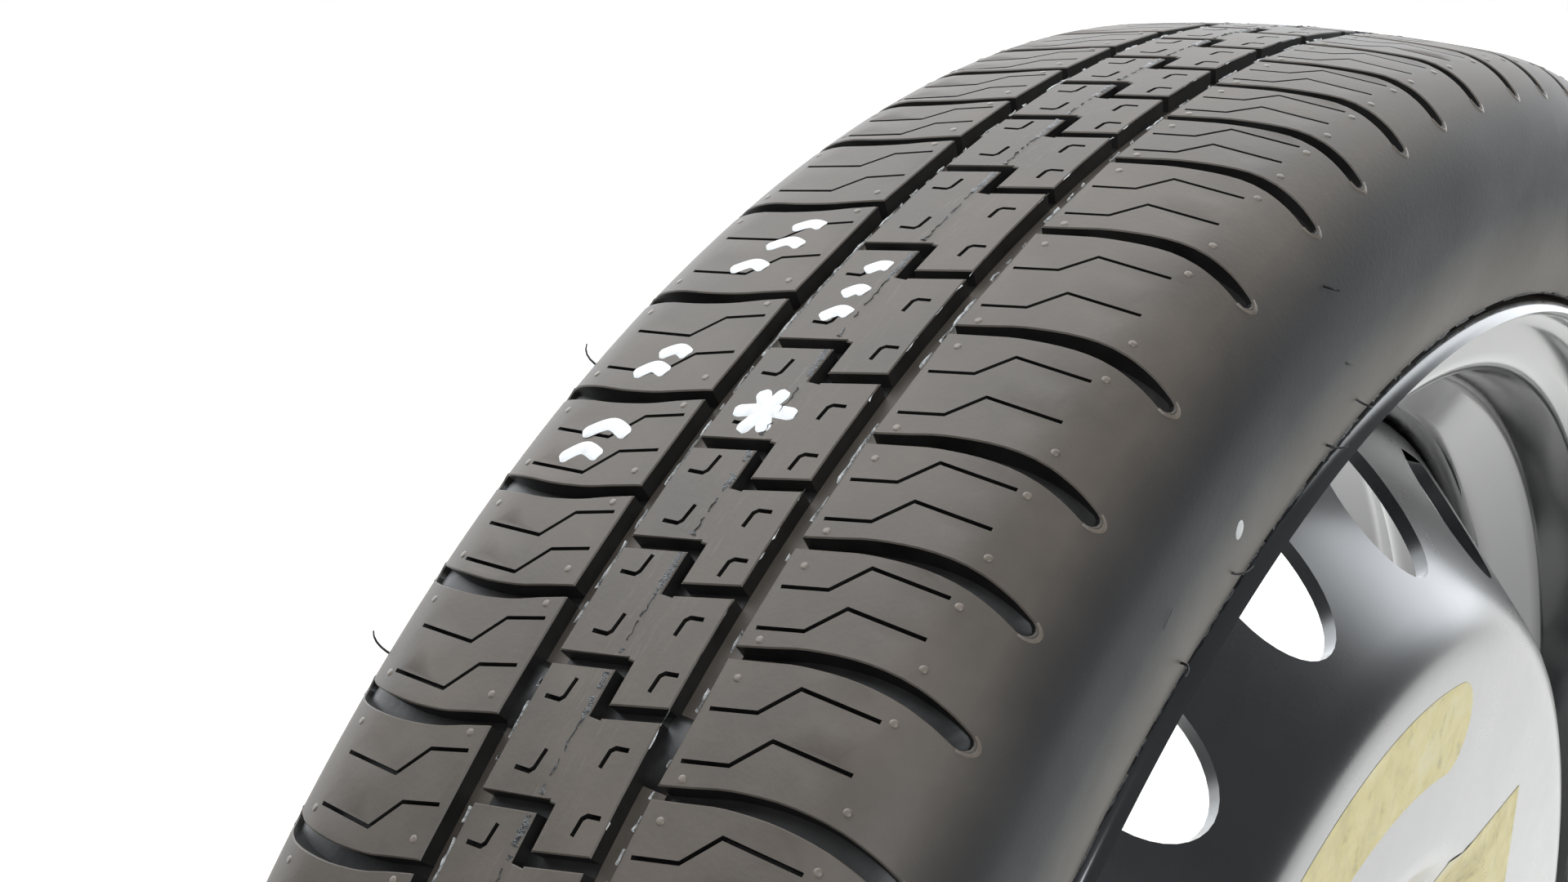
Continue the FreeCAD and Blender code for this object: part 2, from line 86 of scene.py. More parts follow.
# Curved shoulder groove: distance from the middle of the tread, rise round the tread, half width.
SHOULDER_PATH = [
    (14.6, -0.6, 1.0), (17.6, 0.0, 1.0), (22.0, 1.2, 1.08), (26.0, 2.4, 1.2), (28.0, 2.86, 1.26),
    (30.0, 3.2, 1.32), (32.5, 3.55, 1.38), (35.0, 3.8, 1.44), (37.5, 3.91, 1.5), (40.0, 3.9, 1.54),
    (42.5, 3.82, 1.58), (45.0, 3.6, 1.6), (46.3, 3.4, 1.6), (47.6, 3.15, 1.6), (48.9, 2.88, 1.59),
    (50.0, 2.6, 1.58), (51.2, 2.22, 1.55), (52.4, 1.8, 1.5)]
SHOULDER_GROOVE = [(across, rise) for across, rise, _ in SHOULDER_PATH]
SHOULDER_WIDTHS = [half for _, _, half in SHOULDER_PATH]

# Thin cut in the shoulder, and the shares of the pitch at which it stands on either side.
SHOULDER_CUT = [(18.2, 0.0), (25.6, 2.0), (30.0, 7.6), (43.0, 7.6)]
SHOULDER_CUT_HALF = 0.34
RIGHT_CUT_SHARES = (0.23, 0.60)
LEFT_CUT_SHARES = (0.40, 0.77)

# Crooked slot of the rib in three runs: points from the middle of the pitch, half width, and whether the
# run opens into a round groove.
RIB_SLOT = [
    ([(-14.4, 1.0), (-12.0, 1.2), (1.0, 3.9)], 1.1, True),
    ([(0.8, 4.6), (0.8, -5.4)], 1.15, False),
    ([(14.4, -1.0), (12.0, -1.2), (0.6, -4.3)], 1.1, True)]

# Thin cuts of the rib: shape, rise from the middle of the pitch, and (place across, share of the pitch) of
# each.
RIB_CUTS = [
    ([(0.0, 0.0), (2.9, 0.2), (3.5, 0.9), (3.9, 4.2)], 2.4, ((-9.8, -0.32), (-8.2, 0.20))),
    ([(0.0, -3.4), (0.25, -0.6), (0.9, 0.1), (3.2, 0.5)], -2.6, ((6.2, -0.25), (7.4, 0.31)))]
RIB_CUT_HALF = 0.38

# Depths of slots, thin cuts and shoulder grooves. A shoulder groove gets shallower by END_RISE over
# FADE_LENGTH towards its outer end.
SLOT_DEPTH = 3.2
CUT_DEPTH = 2.2
SHOULDER_DEPTH = 4.2
END_RISE = 2.9
FADE_START = 40.0
FADE_LENGTH = 12.6

# Round end of a shoulder groove: steps, and its length as a share of the half width. A bend in a groove's
# outline reaches out no further than the half width over BEND_LIMIT.
END_STEPS = 6
END_LENGTH = 0.8
BEND_LIMIT = 0.5

# Groove kinds from shallow to deep. Where several meet, the deepest holds.
DEPTH_ORDER = {None: 0, "cut": 1, "shoulder": 2, "slot": 3, "round": 4}

# Line between two tread cells across the rib. Beyond RIB_REACH it runs beside the shoulder grooves.
RIB_REACH = 17.2
RISE_RIGHT = 2.3
RISE_LEFT = 2.7
RIB_LINE = [(-RIB_REACH, RISE_LEFT), (-12.0, 3.0), (-4.0, 3.0), (5.0, -3.4), (12.0, -3.4),
            (RIB_REACH, RISE_RIGHT)]

# Where the tread pattern ends, the steps of a cell round the tread, the places across it that get points,
# and how far these stay from a groove.
EDGE_REACH = 54.0
STEPS_PER_CELL = 6
RIB_PLACES = [2.6, 5.0, 8.0]
SHOULDER_PLACES = [18.4, 22.0, 26.0, 30.0, 34.0, 38.0, 40.0, 42.0, 44.0, 46.0, 48.0, 49.5, 51.0, 52.5,
                   EDGE_REACH]
CLEAR_OF_GROOVE = 0.55

# The tyre's side: the shoulder's curve up to SHOULDER_END, an arc to the foot, and the bead in the rim.
SHOULDER_END = math.radians(84.0)
SHOULDER_STEPS = 8
SIDE_RADIUS = 70.0
SIDE_TURN = math.radians(25.4)
SIDE_STEPS = 12
FOOT_ROUNDING = [(0.35, 0.35), (1.2, 0.75)]
BEAD = [(53.9, 248.9), (50.0, 248.2), (46.4, 245.2), (44.6, 240.0), (44.3, 231.4), (30.0, 230.2)]

# Place in the side's profile of the first point past the foot.
FOOT = SHOULDER_STEPS + SIDE_STEPS


class TyreSettings(bpy.types.PropertyGroup):
    """Sizes and colours of the tyre."""

    radius: bpy.props.FloatProperty(
        name="Tread radius", description="Axle to the middle of the tread", default=0.3034, unit="LENGTH")
    crown: bpy.props.FloatProperty(
        name="Crown", description="Radius of the tread across its width", default=0.350, unit="LENGTH")
    shoulder_start: bpy.props.FloatProperty(
        name="Shoulder start", description="Middle of the tread to the shoulder's curve", default=0.038,
        unit="LENGTH")
    shoulder: bpy.props.FloatProperty(
        name="Shoulder", description="Radius of the shoulder", default=0.024, unit="LENGTH")
    groove_inner: bpy.props.FloatProperty(
        name="Groove inner edge", description="Middle of the tread to a round groove's near edge",
        default=0.0121, unit="LENGTH")
    groove_outer: bpy.props.FloatProperty(
        name="Groove outer edge", description="Middle of the tread to a round groove's far edge",
        default=0.0166, unit="LENGTH")
    groove_depth: bpy.props.FloatProperty(
        name="Groove depth", description="Depth of the round grooves", default=0.0034, unit="LENGTH")
    edge: bpy.props.FloatProperty(
        name="Edge", description="Width of the softened edge along a groove", default=0.00022,
        unit="LENGTH")
    rubber: bpy.props.FloatVectorProperty(
        name="Rubber", description="Colour of the moulded rubber", default=(0.116, 0.096, 0.078),
        subtype="COLOR", size=3, min=0, max=1)
    # The grooves' rubber is painted dark as the shade in the grooves.
    groove_painted_shade: bpy.props.FloatVectorProperty(
        name="Groove rubber", description="Colour of the rubber in the grooves",
        default=(0.015, 0.014, 0.013), subtype="COLOR", size=3, min=0, max=1)
    # Colour painted on the tyre's side: darker and bluer than the tread as painted shade with a painted
    # bluish reflection.
    sidewall: bpy.props.FloatVectorProperty(
        name="Sidewall", description="Colour of the sidewall's rubber", default=(0.022, 0.0245, 0.029),
        subtype="COLOR", size=3, min=0, max=1)


class WheelSettings(bpy.types.PropertyGroup):
    """Sizes and colours of the steel wheel and what is stuck on it."""

    disc_sheet: bpy.props.FloatProperty(
        name="Disc sheet", description="Thickness of the disc", default=0.0035, unit="LENGTH")
    rim_sheet: bpy.props.FloatProperty(
        name="Rim sheet", description="Thickness of the rim", default=0.0026, unit="LENGTH")
    vent_circle: bpy.props.FloatProperty(
        name="Vent circle", description="Axle to the middle of a vent hole", default=0.194, unit="LENGTH")
    vent_hole: bpy.props.FloatProperty(
        name="Vent hole", description="Radius of a vent hole", default=0.0155, unit="LENGTH")
    paint: bpy.props.FloatVectorProperty(
        name="Paint", description="Colour of the wheel's paint", default=(0.010, 0.0105, 0.012),
        subtype="COLOR", size=3, min=0, max=1)
    sticker: bpy.props.FloatVectorProperty(
        name="Sticker", description="Colour of the plain stickers", default=(0.86, 0.73, 0.32),
        subtype="COLOR", size=3, min=0, max=1)
    brass: bpy.props.FloatVectorProperty(
        name="Brass", description="Colour of the valve's brass", default=(0.60, 0.43, 0.17),
        subtype="COLOR", size=3, min=0, max=1)


class StageSettings(bpy.types.PropertyGroup):
    """Camera and light."""

    lens: bpy.props.FloatProperty(
        name="Lens", description="Focal length of the camera, in millimetres on a 36 mm frame",
        default=41.72)
    camera: bpy.props.FloatVectorProperty(
        name="Camera", description="Place of the camera", default=(-0.375487, -0.172117, 0.350568),
        subtype="TRANSLATION", unit="LENGTH", size=3)
    aim: bpy.props.FloatVectorProperty(
        name="Aim", description="Direction in which the camera looks", default=(0.7371, 0.5885, -0.3322),
        subtype="DIRECTION", size=3)
    bright_side: bpy.props.FloatVectorProperty(
        name="Bright side", description="Direction from which most of the room's light comes",
        default=(0.75, 0.65, 0.2), subtype="DIRECTION", size=3)
    bright: bpy.props.FloatProperty(
        name="Bright", description="Strength of the room's light on its bright side", default=2.5)
    dim: bpy.props.FloatProperty(
        name="Dim", description="Strength of the room's light on its dim side", default=0.15)


def new_object(name, mesh):
    """Add a mesh as a piece that rides on the wheel."""
    piece = bpy.data.objects.new(name, mesh)
    bpy.context.scene.collection.objects.link(piece)
    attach(piece, "wheel")
    return piece


def built_mesh(name, points, faces, sharp, weld=False, kinds=None):
    """A smooth mesh, its faces turned outward. weld joins points that meet, kinds are material places."""
    mesh = bpy.data.meshes.new(name)
    mesh.from_pydata(points, [], faces)
    if kinds:
        mesh.polygons.foreach_set("material_index", kinds)
    shell = bmesh.new()
    shell.from_mesh(mesh)
    if weld:
        bmesh.ops.remove_doubles(shell, verts=shell.verts, dist=WELD)
    bmesh.ops.recalc_face_normals(shell, faces=shell.faces)
    shell.to_mesh(mesh)
    shell.free()
    mesh.shade_smooth()
    mesh.set_sharp_from_angle(angle=math.radians(sharp))
    return mesh


def sheet_faces(first, levels, width, closed, looped=False):
    """Faces between rows of points. closed joins each row's ends, looped the last row to the first."""
    faces = []
    for level in range(levels if looped else levels - 1):
        low = first + level * width
        high = first + (level + 1) % levels * width
        for step in range(width if closed else width - 1):
            after = (step + 1) % width
            faces.append([low + step, low + after, high + after, high + step])
    return faces


def divided(loops, extra):
    """Triangulate closed loops and points between them: spots, triangles, and the loops around each."""
    points = []
    rings = []
    for loop in loops:
        rings.append(list(range(len(points), len(points) + len(loop))))
        points += loop
    spots, _, triangles, _, _, sources = geometry.delaunay_2d_cdt(points + extra, [], rings, 1, 1e-5, True)
    return spots, triangles, sources


def sides_of(loop):
    """Start and end of each side of a closed loop."""
    return zip(loop, loop[1:] + loop[:1])


def turns(count, shift=0.0):
    """Angles of equal steps round a circle, moved on by a share of one step."""
    return [FULL_TURN * (step + shift) / count for step in range(count)]


def circle(x, y, radius, count, shift=0.0):
    """Points round a circle in the plane."""
    return [Vector((x + radius * math.cos(turn), y + radius * math.sin(turn)))
            for turn in turns(count, shift)]


def ring_point(across, radius, angle):
    """Point at a radius from the axle. angle runs up from the -X side."""
    return Vector((-radius * math.cos(angle), -across, radius * math.sin(angle))) * MM


class Nodes:
    """Adds nodes to a node tree."""

    def __init__(self, tree):
        self.tree = tree

    def feed(self, socket, value):
        """Link another node's output to a socket, or set the socket's own value."""
        if isinstance(value, bpy.types.NodeSocket):
            self.tree.links.new(value, socket)
        elif socket.type == "RGBA":
            socket.default_value = (*value, 1.0)
        else:
            socket.default_value = value

    def node(self, kind, inputs=None, **settings):
        """A new node with its settings and inputs."""
        made = self.tree.nodes.new(kind)
        for key, value in settings.items():
            setattr(made, key, value)
        for key, value in (inputs or {}).items():
            self.feed(made.inputs[key], value)
        return made

    def spread(self, factor, low, high, out_low=0.0, out_high=1.0, curve="LINEAR"):
        """A value carried from one range over to another."""
        inputs = {"Value": factor, "From Min": low, "From Max": high, "To Min": out_low, "To Max": out_high}
        return self.node("ShaderNodeMapRange", inputs, interpolation_type=curve).outputs["Result"]

    def blend(self, factor, first, second):
        """A colour between two others."""
        inputs = {0: factor, 6: first, 7: second}
        return self.node("ShaderNodeMix", inputs, data_type="RGBA").outputs[2]

    def math(self, operation, first, second=0.0):
        """One step of arithmetic on two values."""
        return self.node("ShaderNodeMath", {0: first, 1: second}, operation=operation).outputs[0]


class Look(Nodes):
    """One node material."""

    def __init__(self, name):
        self.material = bpy.data.materials.new(name)
        self.material.use_nodes = True
        super().__init__(self.material.node_tree)
        self.shader = self.tree.nodes["Principled BSDF"]

    def set(self, **sockets):
        """Feed the shader's sockets, with _ for the spaces in their names."""
        for key, value in sockets.items():
            self.feed(self.shader.inputs[key.replace("_", " ")], value)

    def place(self):
        """Place on the piece, in metres."""
        return self.node("ShaderNodeTexCoord").outputs["Object"]

    def noise(self, scale, detail, roughness=0.55, vector=None):
        """Cloudy grain. A larger scale is finer."""
        where = vector or self.place()
        inputs = {"Vector": where, "Scale": scale, "Detail": detail, "Roughness": roughness}
        return self.node("ShaderNodeTexNoise", inputs).outputs["Fac"]

    def ramp(self, factor, stops):
        """Colours along a factor, from (position, colour) stops."""
        made = self.node("ShaderNodeValToRGB", {"Fac": factor})
        elements = made.color_ramp.elements
        while len(elements) < len(stops):
            elements.new(0.5)
        for element, (position, colour) in zip(elements, stops):
            element.position = position
            element.color = (*colour, 1)
        return made.outputs["Color"]

    def bump(self, height, strength, distance):
        """Fine relief."""
        made = self.node("ShaderNodeBump", {"Height": height, "Strength": strength, "Distance": distance})
        self.set(Normal=made.outputs["Normal"])


def scaled(colour, factor):
    """A colour made darker or lighter."""
    return tuple(min(1.0, channel * factor) for channel in colour)


def grained(name, grain, stops, gloss, fine, bump, **sockets):
    """A finish from one cloud of grain. fine is its relief's noise, or None where the cloud gives it."""
    look = Look(name)
    cloud = look.noise(*grain)
    look.set(Base_Color=look.ramp(cloud, stops), Roughness=look.spread(cloud, *gloss), **sockets)
    look.bump(look.noise(*fine) if fine else cloud, *bump)
    return look.material


# Where the tyre's tones change, in metres: across from tread to the side's painted shade, radius of the
# foot's painted light from the floor, and across the scuffed rib.
SIDE_PAINTED_SHADE = (0.0514, 0.0600)
FOOT_PAINTED_LIGHT = (0.272, 0.254)
RIB_TONE = (0.009, 0.003)


def tread_rubber(tyre):
    """Moulded rubber: grey bloom, scuffs along the rib and fine dust specks; the side painted darker and
    bluer as shade with a bluish reflection, and its foot painted paler and warmer as light reflected from
    the floor.
    """
    look = Look("tread_rubber")
    place = look.place()
    axes = look.node("ShaderNodeSeparateXYZ", {"Vector": place})
    across = look.math("ABSOLUTE", axes.outputs["Y"])
    flat = look.node("ShaderNodeCombineXYZ", {"X": axes.outputs["X"], "Z": axes.outputs["Z"]})
    radius = look.node("ShaderNodeVectorMath", {0: flat.outputs[0]}, operation="LENGTH").outputs["Value"]
    cloud = look.noise(38.0, 6.0, 0.6, place)
    fine = look.noise(900.0, 3.0, 0.6, place)
    bloom = look.noise(9.0, 3.0, 0.5, place)
    tread = look.ramp(cloud, [(0.25, scaled(tyre.rubber, 0.66)), (0.55, tyre.rubber[:]),
                              (0.8, scaled(tyre.rubber, 1.35))])
    # The side is painted darker and bluer than the tread: painted shade with a painted bluish reflection.
    side = look.ramp(bloom, [(0.3, scaled(tyre.sidewall, 0.8)), (0.7, scaled(tyre.sidewall, 1.2))])
    # Towards the rim the side turns paler and warmer: painted light reflected from the floor.
    foot = look.blend(look.spread(radius, *FOOT_PAINTED_LIGHT, 0.0, 0.9), side, (0.15, 0.132, 0.106))
    colour = look.blend(look.spread(across, *SIDE_PAINTED_SHADE), tread, foot)
    stretched = look.node("ShaderNodeVectorMath", {0: place, 1: (1.0, 9.0, 1.0)}, operation="MULTIPLY")
    scratch = look.spread(look.noise(170.0, 6.0, 0.7, stretched.outputs[0]), 0.54, 0.70, 0.0, 0.40)
    rib = look.spread(across, *RIB_TONE)
    scuffed = look.blend(look.math("MULTIPLY", scratch, rib), colour, (0.20, 0.18, 0.155))
    speck = look.ramp(look.noise(2600.0, 1.0, 0.5, place), [(0.72, (0, 0, 0)), (0.80, (1, 1, 1))])
    dusty = look.blend(look.math("MULTIPLY", speck, 0.20), scuffed, (0.22, 0.205, 0.19))
    look.set(Base_Color=dusty, Specular_IOR_Level=0.45, Roughness=look.spread(cloud, 0.2, 0.8, 0.44, 0.60))
    look.bump(fine, 0.10, 0.0004)
    return look.material


def groove_rubber_painted_shade(tyre):
    """Slightly shiny rubber of the groove walls and floors, painted dark as the shade in the grooves."""
    stops = [(0.3, scaled(tyre.groove_painted_shade, 0.6)), (0.75, scaled(tyre.groove_painted_shade, 1.6))]
    return grained("groove_rubber_painted_shade", (120.0, 5.0, 0.6), stops, (0.2, 0.8, 0.34, 0.5),
                   (700.0, 3.0), (0.15, 0.0003))


def pip_rubber_painted_highlight(tyre):
    """Smooth rubber of the moulding pips and the lips at the groove ends, painted paler as a highlight."""
    stops = [(0.3, scaled(tyre.rubber, 1.2)), (0.7, scaled(tyre.rubber, 2.0))]
    return grained("pip_rubber_painted_highlight", (400.0, 3.0, 0.6), stops, (0.2, 0.8, 0.28, 0.42), None, (0.05, 0.0002))


def flash_rubber(name, light):
    """Thin shiny skin of rubber left by the mould's joints; light is its paleness, which on the pale flash
    is a painted highlight.
    """
    stops = [(0.35, (0.02, 0.019, 0.018)), (0.62, (light, light, 0.97 * light))]
    return grained(name, (600.0, 4.0, 0.7), stops, (0.2, 0.8, 0.08, 0.22),
                   (1400.0, 3.0, 0.7), (0.8, 0.0006), Specular_IOR_Level=0.8)


def gloss_paint(wheel, name, haze):
    """Gloss black paint with a faint dust haze and orange peel."""
    look = Look(name)
    cloud = look.noise(26.0, 5.0, 0.6)
    dust = look.noise(1500.0, 2.0, 0.6)
    colour = look.ramp(cloud, [(0.3, scaled(wheel.paint, 0.8)), (0.75, scaled(wheel.paint, 1.5))])
    thin = look.math("MULTIPLY", look.spread(dust, 0.62, 0.8), 0.04)
    dusty = look.blend(thin, colour, (0.18, 0.18, 0.19))
    look.set(Base_Color=dusty, Roughness=look.spread(cloud, 0.2, 0.8, haze + 0.02, haze + 0.12),
             Specular_IOR_Level=1.0, Coat_Weight=1.0, Coat_Roughness=haze, Coat_IOR=1.7)
    look.bump(look.noise(240.0, 2.0, 0.5), 0.05, 0.0004)
    return look.material


def sticker_paper(wheel):
    """Worn yellow sticker with rubbed, paler patches."""
    look = Look("sticker_yellow")
    cloud = look.noise(45.0, 6.0, 0.65)
    streak = look.noise(160.0, 4.0, 0.6)
    colour = look.ramp(cloud, [(0.25, scaled(wheel.sticker, 0.72)), (0.5, wheel.sticker[:]),
                               (0.72, (0.92, 0.85, 0.56))])
    rubbed = look.blend(look.spread(streak, 0.58, 0.72, 0.0, 0.35), colour, (0.30, 0.27, 0.20))
    look.set(Base_Color=rubbed, Roughness=look.spread(streak, 0.3, 0.7, 0.35, 0.55))
    look.bump(streak, 0.08, 0.0002)
    return look.material


def paint_mark():
    """Matt white marker paint, thin at its edges."""
    stops = [(0.25, (0.66, 0.66, 0.65)), (0.6, (0.86, 0.86, 0.85))]
    return grained("white_marker_paint", (420.0, 5.0, 0.6), stops, (0.3, 0.7, 0.45, 0.65),
                   None, (0.2, 0.0002))


def valve_rubber():
    """Black moulded rubber of the valve."""
    stops = [(0.3, (0.010, 0.010, 0.010)), (0.75, (0.032, 0.031, 0.030))]
    return grained("valve_rubber", (300.0, 4.0, 0.6), stops, (0.2, 0.8, 0.45, 0.62),
                   (1800.0, 2.0), (0.1, 0.0002))


def turned_brass(wheel):
    """Brass with fine turning marks and a dull film."""
    stops = [(0.3, scaled(wheel.brass, 0.75)), (0.7, scaled(wheel.brass, 1.12))]
    return grained("turned_brass", (500.0, 5.0, 0.65), stops, (0.2, 0.8, 0.2, 0.38),
                   (2600.0, 2.0), (0.06, 0.0001), Metallic=1.0)


def cap_plastic():
    """Satin black plastic of the valve cap."""
    stops = [(0.3, (0.009, 0.009, 0.010)), (0.7, (0.022, 0.022, 0.024))]
    return grained("cap_plastic", (700.0, 4.0, 0.6), stops, (0.2, 0.8, 0.32, 0.45),
                   (2400.0, 2.0), (0.08, 0.0001))


class TyreForm:
    """Shape of the tyre: its profile, and points on its surface by place across and round the tread."""

    def __init__(self, tyre):
        self.radius = tyre.radius / MM
        self.crown = tyre.crown / MM
        self.start = tyre.shoulder_start / MM
        self.round = tyre.shoulder / MM
        self.lean = math.asin(self.start / self.crown)
        self.start_radius = self.radius - self.crown * (1 - math.cos(self.lean))

    def surface(self, across):
        """Radius and outward direction (across, out) at a place across the tread."""
        side = abs(across)
        if side <= self.start:
            turn = math.asin(side / self.crown)
            radius = self.radius - self.crown * (1 - math.cos(turn))
        else:
            turn = self.shoulder_turn(side)
            radius = self.shoulder_at(turn)[1]
        return radius, math.copysign(math.sin(turn), across), math.cos(turn)

    def shoulder_turn(self, side):
        """Lean of the surface at a place on the shoulder's curve."""
        return math.asin(min(1.0, math.sin(self.lean) + (side - self.start) / self.round))

    def shoulder_at(self, turn):
        """Place on the shoulder's curve where the surface leans by turn: (across, radius)."""
        across = self.start + self.round * (math.sin(turn) - math.sin(self.lean))
        radius = self.start_radius - self.round * (math.cos(self.lean) - math.cos(turn))
        return across, radius

    def point(self, across, angle, depth=0.0):
        """Point on the tyre, depth under its surface."""
        radius, lean, out = self.surface(across)
        return ring_point(across - depth * lean, radius - depth * out, angle)


def groove_angles(form):
    """Angles at which the shoulder grooves start, one for each pitch."""
    lengths = [PITCH_LENGTHS[pitch] for pitch in PITCH_ORDER]
    turn = FULL_TURN / sum(lengths)
    angle = FIRST_PITCH
    angles = []
    for length in lengths:
        angles.append(angle + GROOVE_SHARE * length * turn - GROOVE_BACK / form.radius)
        angle += length * turn
    return angles


def pitch_spans(form):
    """Start and end angle of each tread cell."""
    angles = groove_angles(form)
    return list(zip(angles, angles[1:] + [angles[0] + FULL_TURN]))


def along(line, across):
    """Height of a line of points at a place across."""
    for (a0, s0), (a1, s1) in zip(line, line[1:]):
        if across <= a1:
            return s0 + (s1 - s0) * max(0.0, (across - a0) / (a1 - a0))
    return line[-1][1]


def cell_edge(across):
    """Line between two neighbouring tread cells, clear of every groove and cut but the round ones."""
    if across >= RIB_REACH:
        return along(SHOULDER_GROOVE, across) + RISE_RIGHT
    if across <= -RIB_REACH:
        return -along(SHOULDER_GROOVE, -across) + RISE_LEFT
    return along(RIB_LINE, across)


def edge_spot(across, rise):
    """Spot in the plane of the tread, rise above the lower edge of its cell."""
    return Vector((across, cell_edge(across) + rise))


def band(line, half, grow, open_start=False, round_end=False):
    """Closed outline round a line: half is its half width at each point, grow widens it all round."""
    count = len(line)
    left = []
    right = []
    for index, point in enumerate(line):
        before = Vector(line[max(index - 1, 0)])
        after = Vector(line[min(index + 1, count - 1)])
        here = Vector(point)
        first = (here - before).normalized() if index else (after - here).normalized()
        second = (after - here).normalized() if index < count - 1 else first
        way = (first + second).normalized()
        side = Vector((-way.y, way.x)) * ((half[index] + grow) / max(BEND_LIMIT, way.dot(first)))
        shift = Vector((0.0, 0.0))
        if index == 0 and not open_start:
            shift = -way * grow
        if index == count - 1 and not round_end:
            shift = way * grow
        left.append(here + side + shift)
        right.append(here - side + shift)
    end = []
    if round_end:
        tip = Vector(line[-1])
        way = (tip - Vector(line[-2])).normalized()
        side = Vector((-way.y, way.x))
        reach = half[-1] + grow
        for step in range(1, END_STEPS):
            turn = math.pi * step / END_STEPS
            end.append(tip + side * (reach * math.cos(turn)) + way * (reach * END_LENGTH * math.sin(turn)))
    return right + end[::-1] + left[::-1]


def turned_over(line):
    """The same line on the other side of the tread, turned half round."""
    return [(-across, -rise) for across, rise in line]


def moved(line, rise):
    """A line moved round the tread."""
    return [(across, along_tread + rise) for across, along_tread in line]


def cell_features(length):
    """Grooves and cuts of one tread cell: (kind, line, half widths, open start, round end)."""
    features = []
    for line in (SHOULDER_GROOVE, turned_over(SHOULDER_GROOVE)):
        features.append(("shoulder", moved(line, length), SHOULDER_WIDTHS, True, True))
    for line, shares in ((SHOULDER_CUT, RIGHT_CUT_SHARES), (turned_over(SHOULDER_CUT), LEFT_CUT_SHARES)):
        for share in shares:
            half = [SHOULDER_CUT_HALF] * len(line)
            features.append(("cut", moved(line, share * length), half, False, False))
    middle = 0.5 * length
    for line, half, opens in RIB_SLOT:
        features.append(("slot", moved(line, middle), [half] * len(line), opens, False))
    for shape, lift, places in RIB_CUTS:
        for start, share in places:
            base = middle + lift + share * length
            line = [(start + across, base + rise) for across, rise in shape]
            features.append(("cut", line, [RIB_CUT_HALF] * len(line), False, False))
    return features


def floor_depth(kind, across, tyre):
    """Depth of a groove's floor."""
    if kind == "round":
        return tyre.groove_depth / MM
    if kind == "slot":
        return SLOT_DEPTH
    if kind == "cut":
        return CUT_DEPTH
    fade = min(1.0, max(0.0, (abs(across) - FADE_START) / FADE_LENGTH))
    return SHOULDER_DEPTH - END_RISE * fade * fade


def inside(point, line):
    """Whether a point lies inside a closed outline."""
    within = False
    for start, end in sides_of(line):
        if (start.y > point.y) != (end.y > point.y):
            if point.x < start.x + (end.x - start.x) * (point.y - start.y) / (end.y - start.y):
                within = not within
    return within


def near_line(point, line, reach):
    """Whether a point lies within reach of a closed outline."""
    for start, end in sides_of(line):
        way = end - start
        share = max(0.0, min(1.0, (point - start).dot(way) / max(way.length_squared, 1e-9)))
        if (start + way * share - point).length < reach:
            return True
    return False


